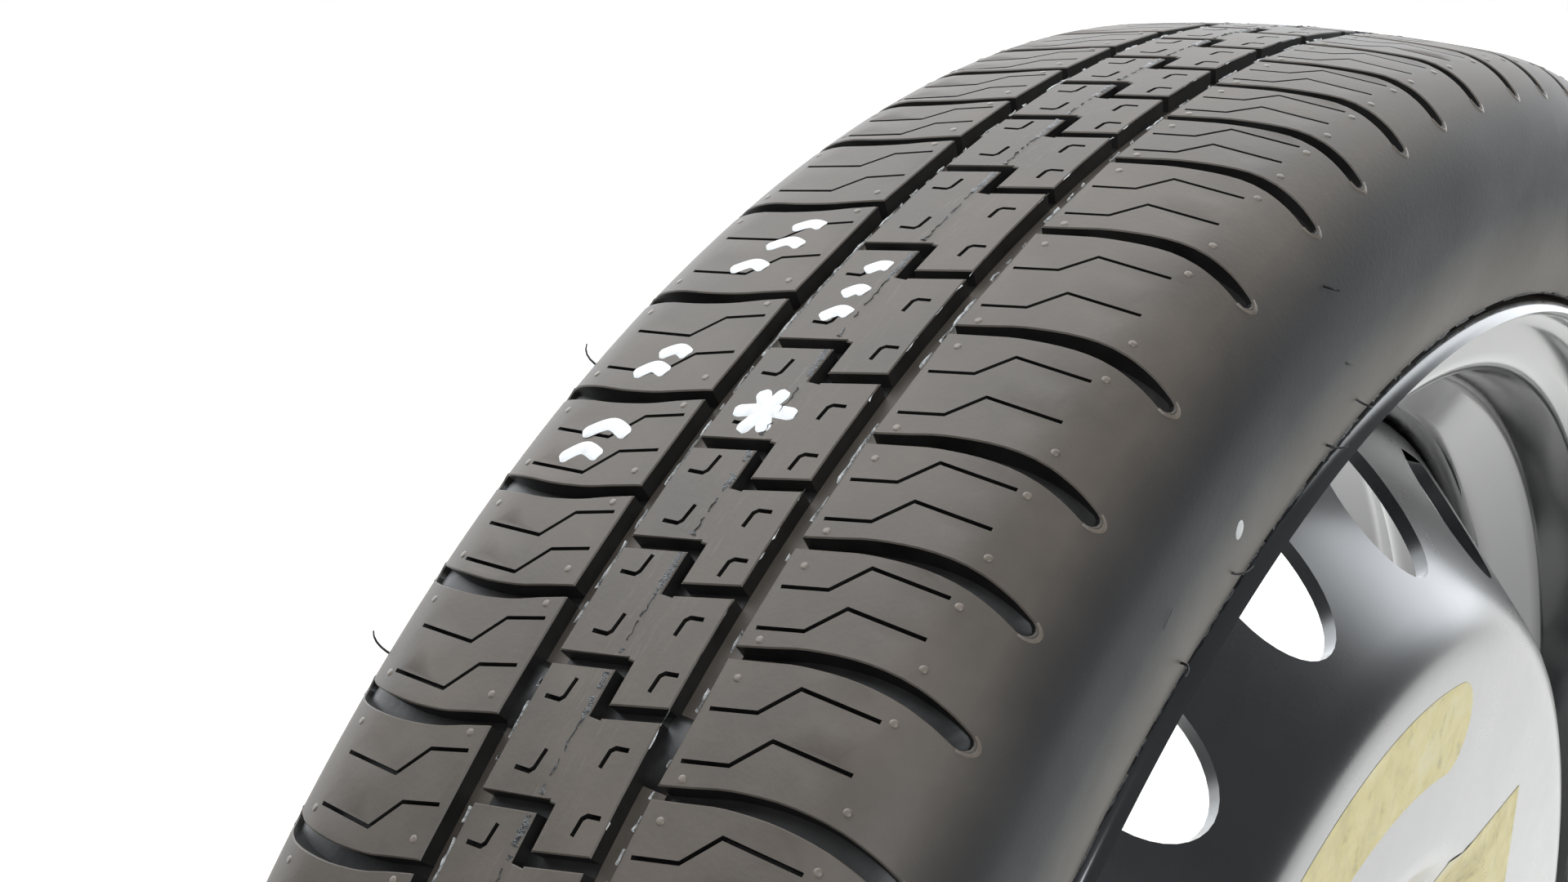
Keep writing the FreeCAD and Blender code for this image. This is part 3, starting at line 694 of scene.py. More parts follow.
class TreadMesh:
    """Collects the faces of the tread, cell by cell."""

    def __init__(self, form, tyre):
        self.form = form
        self.tyre = tyre
        self.bevel = tyre.edge / MM
        self.inner = tyre.groove_inner / MM
        self.outer = tyre.groove_outer / MM
        self.points = []
        self.faces = []
        self.kinds = []
        groove = [self.inner - self.bevel, self.inner, self.outer, self.outer + self.bevel]
        half = RIB_PLACES + groove + SHOULDER_PLACES
        self.samples = [-place for place in reversed(half)] + [0.0] + half

    def add_cell(self, angle, length):
        """Lay out one cell in the plane, divide it, and put it on the tyre."""
        steps = [length * step / STEPS_PER_CELL for step in range(1, STEPS_PER_CELL)]
        outline = [edge_spot(across, 0.0) for across in self.samples]
        outline += [edge_spot(EDGE_REACH, rise) for rise in steps]
        outline += [edge_spot(across, length) for across in reversed(self.samples)]
        outline += [edge_spot(-EDGE_REACH, rise) for rise in reversed(steps)]
        loops = [("cell", 0, outline)]
        for sign in (-1, 1):
            for level, grow in ((1, self.bevel), (2, 0.0)):
                near = sign * (self.inner - grow)
                far = sign * (self.outer + grow)
                corners = [(near, 0.0), (far, 0.0), (far, length), (near, length)]
                ring = [edge_spot(across, rise) for across, rise in corners]
                loops.append(("round", level, ring if sign > 0 else ring[::-1]))
        for kind, line, half, open_start, round_end in cell_features(length):
            if kind != "cut":
                loops.append((kind, 1, band(line, half, self.bevel, open_start, round_end)))
            loops.append((kind, 2, band(line, half, 0.0, open_start, round_end)))
        self.divide(loops, steps, angle)

    def divide(self, loops, steps, angle):
        """Triangulate a cell with its grooves, and lower what lies in them."""
        rings = [ring for _, _, ring in loops]
        between = []
        for across in self.samples[1:-1]:
            for rise in steps:
                spot = edge_spot(across, rise)
                if not any(near_line(spot, ring, CLEAR_OF_GROOVE) for ring in rings):
                    between.append(spot)
        spots, triangles, _ = divided(rings, between)
        triangles = [triangle for triangle in triangles if inside(self.middle(spots, triangle), rings[0])]
        beds = self.beds(spots, triangles, loops)
        sunk = set()
        for triangle, bed in zip(triangles, beds):
            if bed and bed != "cut":
                sunk.update(triangle)
        made = {}

        def vertex(spot, bed):
            """The point at a spot, on the floor of a groove or on the surface."""
            key = (spot, bed)
            if key not in made:
                place = spots[spot]
                depth = floor_depth(bed, place.x, self.tyre) if bed else self.bevel * (spot in sunk)
                made[key] = len(self.points)
                self.points.append(self.form.point(place.x, angle + place.y / self.form.radius, depth))
            return made[key]

        sides = {}
        for triangle, bed in zip(triangles, beds):
            corners = [vertex(spot, bed) for spot in triangle]
            if len(set(corners)) == 3:
                self.faces.append(corners)
                self.kinds.append(0 if bed in (None, "round") else 1)
            for start, end in sides_of(triangle):
                sides.setdefault((min(start, end), max(start, end)), []).append((start, end, bed))
        for parts in sides.values():
            if len(parts) == 2 and parts[0][2] != parts[1][2]:
                self.add_wall(parts, vertex)

    @staticmethod
    def middle(spots, triangle):
        """Middle of a triangle."""
        return (spots[triangle[0]] + spots[triangle[1]] + spots[triangle[2]]) / 3

    def beds(self, spots, triangles, loops):
        """The kind of groove that each triangle lies in, the deepest where several meet."""
        grooves = []
        for kind, level, ring in loops:
            if level == 2:
                across = [spot.x for spot in ring]
                along_tread = [spot.y for spot in ring]
                box = (min(across), max(across), min(along_tread), max(along_tread))
                grooves.append((kind, box, ring))
        grooves.sort(key=lambda groove: -DEPTH_ORDER[groove[0]])
        found = []
        for triangle in triangles:
            middle = self.middle(spots, triangle)
            bed = None
            for kind, (low, high, bottom, top), ring in grooves:
                if low < middle.x < high and bottom < middle.y < top and inside(middle, ring):
                    bed = kind
                    break
            found.append(bed)
        return found

    def add_wall(self, parts, vertex):
        """Join a groove's rim to its floor."""
        upper, lower = sorted(parts, key=lambda part: DEPTH_ORDER[part[2]])
        start, end, bed = lower
        top = [vertex(start, upper[2]), vertex(end, upper[2])]
        bottom = [vertex(end, bed), vertex(start, bed)]
        self.faces.append([top[1], top[0], bottom[1], bottom[0]])
        self.kinds.append(1)


def side_profile(form):
    """The tyre's side from the end of the tread pattern to the bead inside the rim: (across, radius)."""
    start = form.shoulder_turn(EDGE_REACH)
    points = []
    for step in range(1, SHOULDER_STEPS + 1):
        points.append(form.shoulder_at(start + (SHOULDER_END - start) * step / SHOULDER_STEPS))
    across, radius = points[-1]
    middle_across = across - SIDE_RADIUS * math.sin(SHOULDER_END)
    middle_radius = radius - SIDE_RADIUS * math.cos(SHOULDER_END)
    for step in range(1, SIDE_STEPS + 1):
        turn = SHOULDER_END + SIDE_TURN * step / SIDE_STEPS
        points.append((middle_across + SIDE_RADIUS * math.sin(turn),
                       middle_radius + SIDE_RADIUS * math.cos(turn)))
    across, radius = points[-1]
    return points + [(across - inward, radius - down) for inward, down in FOOT_ROUNDING] + BEAD


class OBJECT_OT_wheel_tyre(bpy.types.Operator):
    """Build the tyre with its grooved tread and smooth sides"""

    bl_idname = "object.wheel_tyre"
    bl_label = "Tyre"

    def execute(self, context):
        tyre = context.scene.wheel_tyre
        form = TyreForm(tyre)
        tread = TreadMesh(form, tyre)
        for start, end in pitch_spans(form):
            tread.add_cell(start, (end - start) * form.radius)
        self.add_sides(tread, form)
        mesh = built_mesh("tyre_rubber", tread.points, tread.faces, TYRE_SHARP, True, tread.kinds)
        mesh.materials.append(tread_rubber(tyre))
        mesh.materials.append(groove_rubber_painted_shade(tyre))
        piece = new_object("tyre_rubber", mesh)
        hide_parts("tyre")
        return {"FINISHED"}

    @staticmethod
    def add_sides(tread, form):
        """Turn the sides round the axle, in line with the tread's edge points."""
        profile = side_profile(form)
        for sign in (-1, 1):
            shift = cell_edge(sign * EDGE_REACH) / form.radius
            angles = []
            for start, end in pitch_spans(form):
                for step in range(STEPS_PER_CELL):
                    angles.append(start + shift + (end - start) * step / STEPS_PER_CELL)
            first = len(tread.points)
            tread.points += [form.point(sign * EDGE_REACH, angle) for angle in angles]
            for across, radius in profile:
                tread.points += [ring_point(sign * across, radius, angle) for angle in angles]
            faces = sheet_faces(first, len(profile) + 1, len(angles), True)
            tread.faces += faces if sign > 0 else [face[::-1] for face in faces]
            tread.kinds += [0] * len(faces)


# Steps of the arcs in the rim's and the disc's bends, in degrees, and how far a sheet's end bulges as a
# share of its thickness.
RIM_BEND_STEP = 12.0
DISC_BEND_STEP = 6.0
SHEET_END = 0.12


def rounded(corners, step):
    """A line of (across, radius, rounding) corners with arcs at the corners, step degrees at a time."""
    line = []
    for index, (across, radius, curve) in enumerate(corners):
        here = Vector((across, radius))
        if curve <= 0 or index in (0, len(corners) - 1):
            line.append(here)
            continue
        back = (Vector(corners[index - 1][:2]) - here).normalized()
        ahead = (Vector(corners[index + 1][:2]) - here).normalized()
        angle = back.angle(ahead)
        reach = curve / math.tan(angle / 2)
        middle = here + (back + ahead).normalized() * (curve / math.sin(angle / 2))
        start = here + back * reach - middle
        turn = math.pi - angle
        if back.x * ahead.y - back.y * ahead.x > 0:
            turn = -turn
        count = max(2, int(abs(math.degrees(turn)) / step) + 1)
        for part in range(count + 1):
            angle_now = turn * part / count
            cos, sin = math.cos(angle_now), math.sin(angle_now)
            line.append(middle + Vector((start.x * cos - start.y * sin, start.x * sin + start.y * cos)))
    return line


def thickened(line, sheet):
    """Closed outline of a sheet along its middle line, with rounded ends."""
    upper = []
    lower = []
    for index, here in enumerate(line):
        before = line[max(index - 1, 0)]
        after = line[min(index + 1, len(line) - 1)]
        way = (after - before).normalized()
        side = Vector((-way.y, way.x)) * (sheet / 2)
        upper.append(here + side)
        lower.append(here - side)
    tail = (line[-1] - line[-2]).normalized() * sheet * SHEET_END
    head = (line[0] - line[1]).normalized() * sheet * SHEET_END
    return upper + [line[-1] + tail] + lower[::-1] + [line[0] + head]


# One half of the rim's middle line, from the curled lip to the drop well: across, radius, rounding.
RIM_HALF = [(56.2, 244.4, 0), (55.4, 245.8, 2.0), (52.4, 246.9, 3.0), (45.75, 247.2, 6.0),
            (45.75, 229.9, 4.5), (25.1, 228.0, 7.0), (13.6, 214.7, 7.0)]
RIM_STEPS = 288
RIM_HAZE = 0.11


class OBJECT_OT_wheel_rim(bpy.types.Operator):
    """Build the rolled steel rim"""

    bl_idname = "object.wheel_rim"
    bl_label = "Rim"

    def execute(self, context):
        wheel = context.scene.wheel_steel
        mirrored = [(-across, radius, curve) for across, radius, curve in reversed(RIM_HALF)]
        outline = thickened(rounded(RIM_HALF + mirrored, RIM_BEND_STEP), wheel.rim_sheet / MM)
        points = []
        for angle in turns(RIM_STEPS):
            points += [ring_point(spot.x, spot.y, angle) for spot in outline]
        faces = sheet_faces(0, RIM_STEPS, len(outline), True, True)
        mesh = built_mesh("rim_steel", points, faces, STEEL_SHARP)
        mesh.materials.append(gloss_paint(wheel, "rim_black_paint", RIM_HAZE))
        piece = new_object("rim_steel", mesh)
        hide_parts("rim")
        return {"FINISHED"}


# Middle line of the disc's sheet from the hub bore to the rim's well: across, radius, rounding.
DISC_CORNERS = [(41.75, 28.55, 0), (41.75, 84.4, 9.0), (53.25, 107.8, 9.0), (53.25, 166.3, 18.0),
                (6.4, 211.5, 5.5), (-6.3, 211.5, 0)]
DISC_HAZE = 0.22

# The disc is laid out in the plane out to DISC_EDGE, with rings of points between its holes.
DISC_EDGE = 206.0
DISC_STEPS = 240
DISC_RINGS = [33, 42, 52, 62, 72, 78, 82, 86, 90, 95, 100, 104, 108, 112, 118, 126, 134, 142, 150, 155, 159,
              162, 165, 168, 171, 174, 177, 181, 186, 191, 196, 201]
COARSE_REACH = 100
CLEAR_OF_HOLE = 0.8

# Holes: radii, places and points round each.
HUB_BORE = 28.55
BORE_STEPS = 96
VENTS = 20
FIRST_VENT = 62.0
VENT_STEPS = 40
BOLTS = 5
FIRST_BOLT = 90.0
BOLT_CIRCLE = 56.0
BOLT_HOLE = 7.5
BOLT_STEPS = 24

# The vents are punched square to the sloped wall, so its back is moved in by WALL_LEAN. The shift grows
# over WALL_BLEND from WALL_START on, and ends over EDGE_BLEND at the edge.
WALL_LEAN = 2.4
WALL_START = 160.0
WALL_BLEND = 14.0
EDGE_BLEND = 4.0


def disc_sides(wheel):
    """Lines of (across, radius) points along the disc's front and back."""
    middle = rounded(DISC_CORNERS, DISC_BEND_STEP)
    outline = thickened(middle, wheel.disc_sheet / MM)
    return outline[len(middle) + 1:-1][::-1], outline[:len(middle)]


def line_at(line, radius):
    """Distance from the middle plane at a radius, along one side of the sheet."""
    for first, second in zip(line, line[1:]):
        if first.y <= radius <= second.y and second.y > first.y + 1e-6:
            return first.x + (second.x - first.x) * (radius - first.y) / (second.y - first.y)
    return line[0].x if radius < line[0].y else line[-1].x


class OBJECT_OT_wheel_disc(bpy.types.Operator):
    """Build the pressed disc with its vent and bolt holes"""

    bl_idname = "object.wheel_disc"
    bl_label = "Disc"

    def execute(self, context):
        wheel = context.scene.wheel_steel
        mesh = self.disc_mesh(self.holes(wheel), *disc_sides(wheel))
        mesh.materials.append(gloss_paint(wheel, "disc_black_paint", DISC_HAZE))
        piece = new_object("disc_steel", mesh)
        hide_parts("wheel_disc")
        return {"FINISHED"}

    @staticmethod
    def holes(wheel):
        """Vent and bolt holes in the plane: x, y, radius, points round it."""
        vents = (VENTS, FIRST_VENT, wheel.vent_circle / MM, wheel.vent_hole / MM, VENT_STEPS)
        bolts = (BOLTS, FIRST_BOLT, BOLT_CIRCLE, BOLT_HOLE, BOLT_STEPS)
        found = []
        for count, first, reach, radius, steps in (vents, bolts):
            for step in range(count):
                angle = math.radians(first + 360.0 / count * step)
                found.append((-reach * math.cos(angle), reach * math.sin(angle), radius, steps))
        return found

    def disc_mesh(self, holes, front, back):
        """Lay the disc out in the plane, put it on both sides of the sheet and join them in the holes."""
        loops = [circle(0, 0, DISC_EDGE, DISC_STEPS), circle(0, 0, HUB_BORE, BORE_STEPS)]
        loops += [circle(*hole) for hole in holes]
        between = []
        for index, ring in enumerate(DISC_RINGS):
            count = DISC_STEPS // 2 if ring < COARSE_REACH else DISC_STEPS
            for spot in circle(0, 0, ring, count, (index % 2) * 0.5):
                gaps = [(spot - Vector((x, y))).length - radius for x, y, radius, _ in holes]
                if min(gaps) > CLEAR_OF_HOLE:
                    between.append(spot)
        spots, triangles, sources = divided(loops, between)
        points = []
        for line, lean in ((front, 0.0), (back, WALL_LEAN)):
            for spot in spots:
                reach = spot.length
                share = min(1.0, (reach - WALL_START) / WALL_BLEND, (DISC_EDGE - reach) / EDGE_BLEND)
                radius = reach - lean * max(0.0, share)
                place = spot * (radius / reach)
                points.append(Vector((-place.x, -line_at(line, radius), place.y)) * MM)
        count = len(spots)
        faces = []
        border = {}
        for triangle, source in zip(triangles, sources):
            if source == [0]:
                faces.append(list(triangle))
                faces.append([count + spot for spot in reversed(triangle)])
                border.update(dict.fromkeys(sides_of(triangle)))
        for start, end in border:
            in_hole = min(spots[start].length, spots[end].length) < DISC_EDGE - 0.5
            if in_hole and (end, start) not in border:
                faces.append([end, start, count + start, count + end])
        self.add_edge(points, faces, front, back)
        return built_mesh("disc_steel", points, faces, STEEL_SHARP, True)

    @staticmethod
    def add_edge(points, faces, front, back):
        """The disc's turned-in edge, from the vented wall to the rim's well."""
        parts = []
        for line in (front, back):
            start = Vector((line_at(line, DISC_EDGE), DISC_EDGE))
            parts.append([start] + [spot for spot in line if spot.y > DISC_EDGE])
        strip = parts[0] + parts[1][::-1]
        first = len(points)
        for spot in strip:
            for turn in circle(0, 0, 1.0, DISC_STEPS):
                points.append(Vector((-spot.y * turn.x, -spot.x, spot.y * turn.y)) * MM)
        faces += sheet_faces(first, len(strip), DISC_STEPS, True)


class Skin:
    """Collects small raised shapes into one mesh."""

    def __init__(self):
        self.points = []
        self.faces = []

    def add(self, rows, closed=False, capped=False):
        """Join two or more rows of points to a sheet; capped closes the last row."""
        if len(rows) < 2:
            return
        first = len(self.points)
        width = len(rows[0])
        for row in rows:
            self.points += row
        self.faces += sheet_faces(first, len(rows), width, closed)
        if capped:
            self.faces.append(list(range(first + (len(rows) - 1) * width, first + len(rows) * width)))

    def piece(self, name, look, slot):
        """Make the piece."""
        mesh = built_mesh(name, self.points, self.faces, SKIN_SHARP)
        mesh.materials.append(look)
        piece = new_object(name, mesh)


# Places of the small round pips beside each shoulder groove: across, rise from the groove's start. A pip is
# made of rings of (reach, height).
PIPS = [(19.8, 3.0), (19.8, -3.6), (44.6, 8.0), (44.6, -1.0)]
PIP_RINGS = [(0.72, -0.06), (0.62, 0.09), (0.34, 0.15)]

# Section of the lip round the end of a shoulder groove: distance from the groove's tip, depth.
END_LIP = [(1.52, 0.3), (1.62, -0.13), (1.95, -0.11), (2.2, 0.1)]

# Thin moulding hairs: across, radius, angle in degrees, run round, run outward from the axle, run sideways.
HAIRS = [(57.6, 286.8, 72.5, 0.8, -1.0, 2.4), (59.0, 271.4, 73.1, 3.2, -3.6, 1.0),
         (57.8, 257.0, 75.1, 2.2, -2.4, 2.2), (57.0, 254.0, 72.5, 2.6, -1.2, 3.0),
         (57.8, 257.0, 63.7, 3.4, -1.0, 2.2), (59.2, 270.0, 58.4, 3.6, 2.0, 0.8),
         (57.0, 255.0, 59.5, -3.0, 1.6, 3.0), (-52.0, 293.5, 59.6, 2.4, 2.6, -4.0),
         (-52.0, 293.5, 47.0, 2.0, 3.0, -4.2)]
MORE_HAIRS = 26
HAIR_THICK = 0.26
HAIR_TAPER = 0.10
HAIR_STEPS = 5

# Torn flash along a round groove and at the foot: steps round the tyre, and how likely it goes on.
FLASH_STEPS = 1500
FLASH_GOES_ON = 0.45
FOOT_STEPS = 900
FOOT_GOES_ON = 0.82

# Torn seam along the rib: step round the tyre, place across, and how likely it breaks.
SEAM_STEP = 0.7
SEAM_PLACE = -1.2
SEAM_BREAKS = 0.08

# Start of the random draws for hairs, flash and seam.
SEED = 5

# Wear bars in the round grooves: section of (rise, depth), how many, first angle in degrees.
WEAR_BAR = [(-6.0, 3.5), (-4.6, 2.2), (0.0, 2.2), (4.6, 2.2), (6.0, 3.5)]
WEAR_BARS = 6
FIRST_BAR = 47.3


class OBJECT_OT_wheel_moulding(bpy.types.Operator):
    """Add what the mould leaves on the tyre: pips, hairs, flash and the joint's seam"""

    bl_idname = "object.wheel_moulding"
    bl_label = "Moulding marks"

    def execute(self, context):
        tyre = context.scene.wheel_tyre
        form = TyreForm(tyre)
        inner = tyre.groove_inner / MM
        outer = tyre.groove_outer / MM
        # The hairs and wear bars share the grooves' rubber, which is painted dark as shade.
        rubber = bpy.data.materials.get("groove_rubber_painted_shade") or groove_rubber_painted_shade(tyre)
        chance = random.Random(SEED)
        pips = Skin()
        for angle in groove_angles(form):
            for across, rise in PIPS:
                self.add_pip(pips, form, across, angle + rise / form.radius)
                self.add_pip(pips, form, -across, angle - rise / form.radius)
            self.add_end_lip(pips, form, angle, 1)
            self.add_end_lip(pips, form, angle, -1)
        # The pips and the lips round the groove ends are painted paler as a highlight.
        pips.piece("moulding_pips", pip_rubber_painted_highlight(tyre), "tyre")
        hairs = Skin()
        for hair in HAIRS:
            self.add_hair(hairs, *hair)
        for _ in range(MORE_HAIRS):
            side = chance.choice((-1, 1))
            self.add_hair(hairs, side * 57.2, chance.uniform(255.0, 258.0), chance.uniform(100.0, 400.0),
                          chance.uniform(-3.4, 3.4), chance.uniform(-2.0, 1.0), side * 2.4)
        hairs.piece("moulding_hairs", rubber, "tyre")
        flash = Skin()
        for across, lean, often in ((-inner, -1, 0.62), (outer, -1, 0.5), (inner, 1, 0.2)):
            self.add_flash(flash, form, chance, across, lean, often)
        # The flash along the round grooves is painted pale as a highlight.
        flash.piece("moulding_flash", flash_rubber("flash_painted_highlight", 0.55), "tyre")
        seam = Skin()
        self.add_seam(seam, form, chance)
        self.add_foot_line(seam, form, chance)
        seam.piece("moulding_seam", flash_rubber("dark_flash", 0.05), "tyre")
        bars = Skin()
        for step in range(WEAR_BARS):
            angle = math.radians(FIRST_BAR + 360.0 / WEAR_BARS * step)
            self.add_wear_bar(bars, form, -inner, -outer, angle)
            self.add_wear_bar(bars, form, inner, outer, angle)
        bars.piece("wear_bars", rubber, "tyre")
        return {"FINISHED"}

    @staticmethod
    def add_pip(skin, form, across, angle):
        """A low round pip."""
        rows = []
        for reach, height in PIP_RINGS:
            rows.append([form.point(across + reach * math.cos(turn),
                                    angle + reach * math.sin(turn) / form.radius, -height)
                         for turn in turns(10)])
        skin.add(rows, closed=True, capped=True)

    @staticmethod
    def add_hair(skin, across, radius, degrees, run_round, run_out, run_side):
        """A thin tube that leaves the rubber sideways and bends over."""
        rows = []
        angle = math.radians(degrees)
        for step in range(HAIR_STEPS + 1):
            share = step / HAIR_STEPS
            thick = HAIR_THICK - HAIR_TAPER * share
            sideways = math.sin(share * math.pi / 2)
            rows.append([ring_point(across + run_side * sideways + 0.3 * thick * math.cos(turn),
                                    radius + run_out * share + thick * math.sin(turn),
                                    angle + (run_round * share * share + thick * math.cos(turn)) / radius)
                         for turn in turns(5)])
        skin.add(rows, closed=True, capped=True)

    @staticmethod
    def add_end_lip(skin, form, angle, side):
        """A thin raised lip round the outer end of a shoulder groove."""
        (before, start), (across, rise) = SHOULDER_GROOVE[-2:]
        heading = math.atan2(rise - start, across - before)
        rows = []
        for step in range(9):
            turn = heading + math.radians(20.0 * step - 80.0)
            rows.append([form.point(side * (across + reach * math.cos(turn)),
                                    angle + side * (rise + reach * math.sin(turn)) / form.radius, depth)
                         for reach, depth in END_LIP])
        skin.add(rows)

    @staticmethod
    def add_flash(skin, form, chance, across, lean, often):
        """A torn thin lip along the edge of a round groove."""
        rows = []
        for step in range(FLASH_STEPS + 1):
            angle = FULL_TURN * step / FLASH_STEPS
            if chance.random() < often or (rows and chance.random() < FLASH_GOES_ON):
                tip = chance.uniform(0.15, 0.95)
                base = form.point(across, angle, 0.25)
                edge = form.point(across + lean * 0.5 * tip, angle + chance.uniform(-0.001, 0.001),
                                  chance.uniform(-0.14, 0.10))
                rows.append([base, form.point(across + lean * 0.12, angle, 0.0), edge])
            else:
                skin.add(rows)
                rows = []

    @staticmethod
    def add_seam(skin, form, chance):
        """The torn joint line along the middle of the rib, left open at the slots."""
        for start, end in pitch_spans(form):
            length = (end - start) * form.radius
            rows = []
            for step in range(int(length / SEAM_STEP)):
                rise = SEAM_STEP * step
                if abs(rise - (0.5 * length + 3.5)) < 1.5 or chance.random() < SEAM_BREAKS:
                    skin.add(rows)
                    rows = []
                    continue
                near_slot = abs(rise - 0.5 * length) < 6.0
                wide = chance.uniform(0.9, 2.0) if near_slot else chance.uniform(0.15, 0.6)
                middle = SEAM_PLACE + chance.uniform(-0.25, 0.25)
                angle = start + rise / form.radius
                rows.append([form.point(middle - wide / 2, angle, 0.05),
                             form.point(middle + chance.uniform(-0.2, 0.2) * wide, angle,
                                        -chance.uniform(0.08, 0.27)),
                             form.point(min(middle + wide / 2, -0.4), angle, 0.05)])
            skin.add(rows)

    @staticmethod
    def add_foot_line(skin, form, chance):
        """Broken thin flash where the tyre meets the rim."""
        across, radius = side_profile(form)[FOOT]
        for sign in (-1, 1):
            rows = []
            for angle in turns(FOOT_STEPS):
                if chance.random() < FOOT_GOES_ON:
                    rise = chance.uniform(0.0, 0.45)
                    rows.append([ring_point(sign * (across - 0.2), radius + 0.5, angle),
                                 ring_point(sign * (across + 0.25 + rise), radius - 0.1 * rise, angle),
                                 ring_point(sign * (across - 0.3), radius - 0.35, angle)])
                else:
                    skin.add(rows)
                    rows = []

    @staticmethod
    def add_wear_bar(skin, form, near, far, angle):
        """A raised block across the floor of a round groove."""
        rows = []
        for rise, depth in WEAR_BAR:
            rows.append([form.point(near + (far - near) * share, angle + rise / form.radius, depth)
                         for share in (0.0, 0.33, 0.67, 1.0)])
        skin.add(rows)


# Dabs of white marker paint on the tread: lines of (across, angle in degrees).
DABS = [[(-37.0, 54.7), (-33.5, 55.3), (-29.0, 55.1)],
        [(-36.0, 55.8), (-31.5, 56.4), (-26.5, 56.1)],
        [(-35.0, 58.5), (-32.0, 59.0), (-28.5, 58.8)],
        [(-33.0, 59.5), (-30.0, 59.9), (-27.0, 59.7)],
        [(-34.0, 63.9), (-30.5, 64.4), (-27.0, 64.2)],
        [(-31.0, 65.3), (-27.5, 65.8), (-24.0, 65.6)],
        [(-29.5, 66.5), (-26.5, 66.9), (-23.5, 66.8)],
        [(-9.4, 57.9), (-4.0, 58.2), (2.0, 58.3)],
        [(-6.8, 58.9), (-4.0, 58.2), (-1.6, 57.4)],
        [(-2.6, 59.1), (-4.0, 58.2), (-5.8, 57.2)],
        [(-7.4, 62.3), (-5.0, 62.8), (-2.6, 62.7)],
        [(-7.0, 63.5), (-5.0, 63.9), (-3.0, 63.8)],
        [(-6.8, 64.8), (-4.8, 65.2), (-2.8, 65.2)]]
DAB_HALF = 1.45
DAB_STEPS = 8

# Shares of a dab's width at its end, one step in, and further in.
DAB_ENDS = (0.55, 0.85, 1.0)

# Section of a dab and rings of the dot on the side: share of the half width, height.
DAB_SECTION = [(-1.0, -0.03), (-0.85, 0.05), (0.0, 0.07), (0.85, 0.05), (1.0, -0.03)]
DOT_RINGS = [(1.0, -0.05), (0.85, 0.09), (0.5, 0.13)]
DOT_RADIUS = 265.3
DOT_ANGLE = math.radians(64.2)
DOT_HALF_OUT = 2.1
DOT_HALF_ROUND = 1.5

# Sticker along the disc's ring: its radii, its straight run and its round end, in steps.
RING_STICKER_INNER = 131.0
RING_STICKER_OUTER = 154.5
RING_STICKER_START = math.radians(44.0)
RING_STICKER_END = math.radians(107.0)
RING_STICKER_LIFT = 0.06
RUN_STEPS = 48
ROUND_STEPS = 8
HALF_WIDTH_STEPS = 4

# Square sticker: its lower corner, width and height seen along the axle, its steps, and its lift.
SQUARE_CORNER = (46.0, 60.0)
SQUARE_SIZE = (51.0, 34.0)
SQUARE_STEPS = (24, 18)
SQUARE_LIFT = 0.08


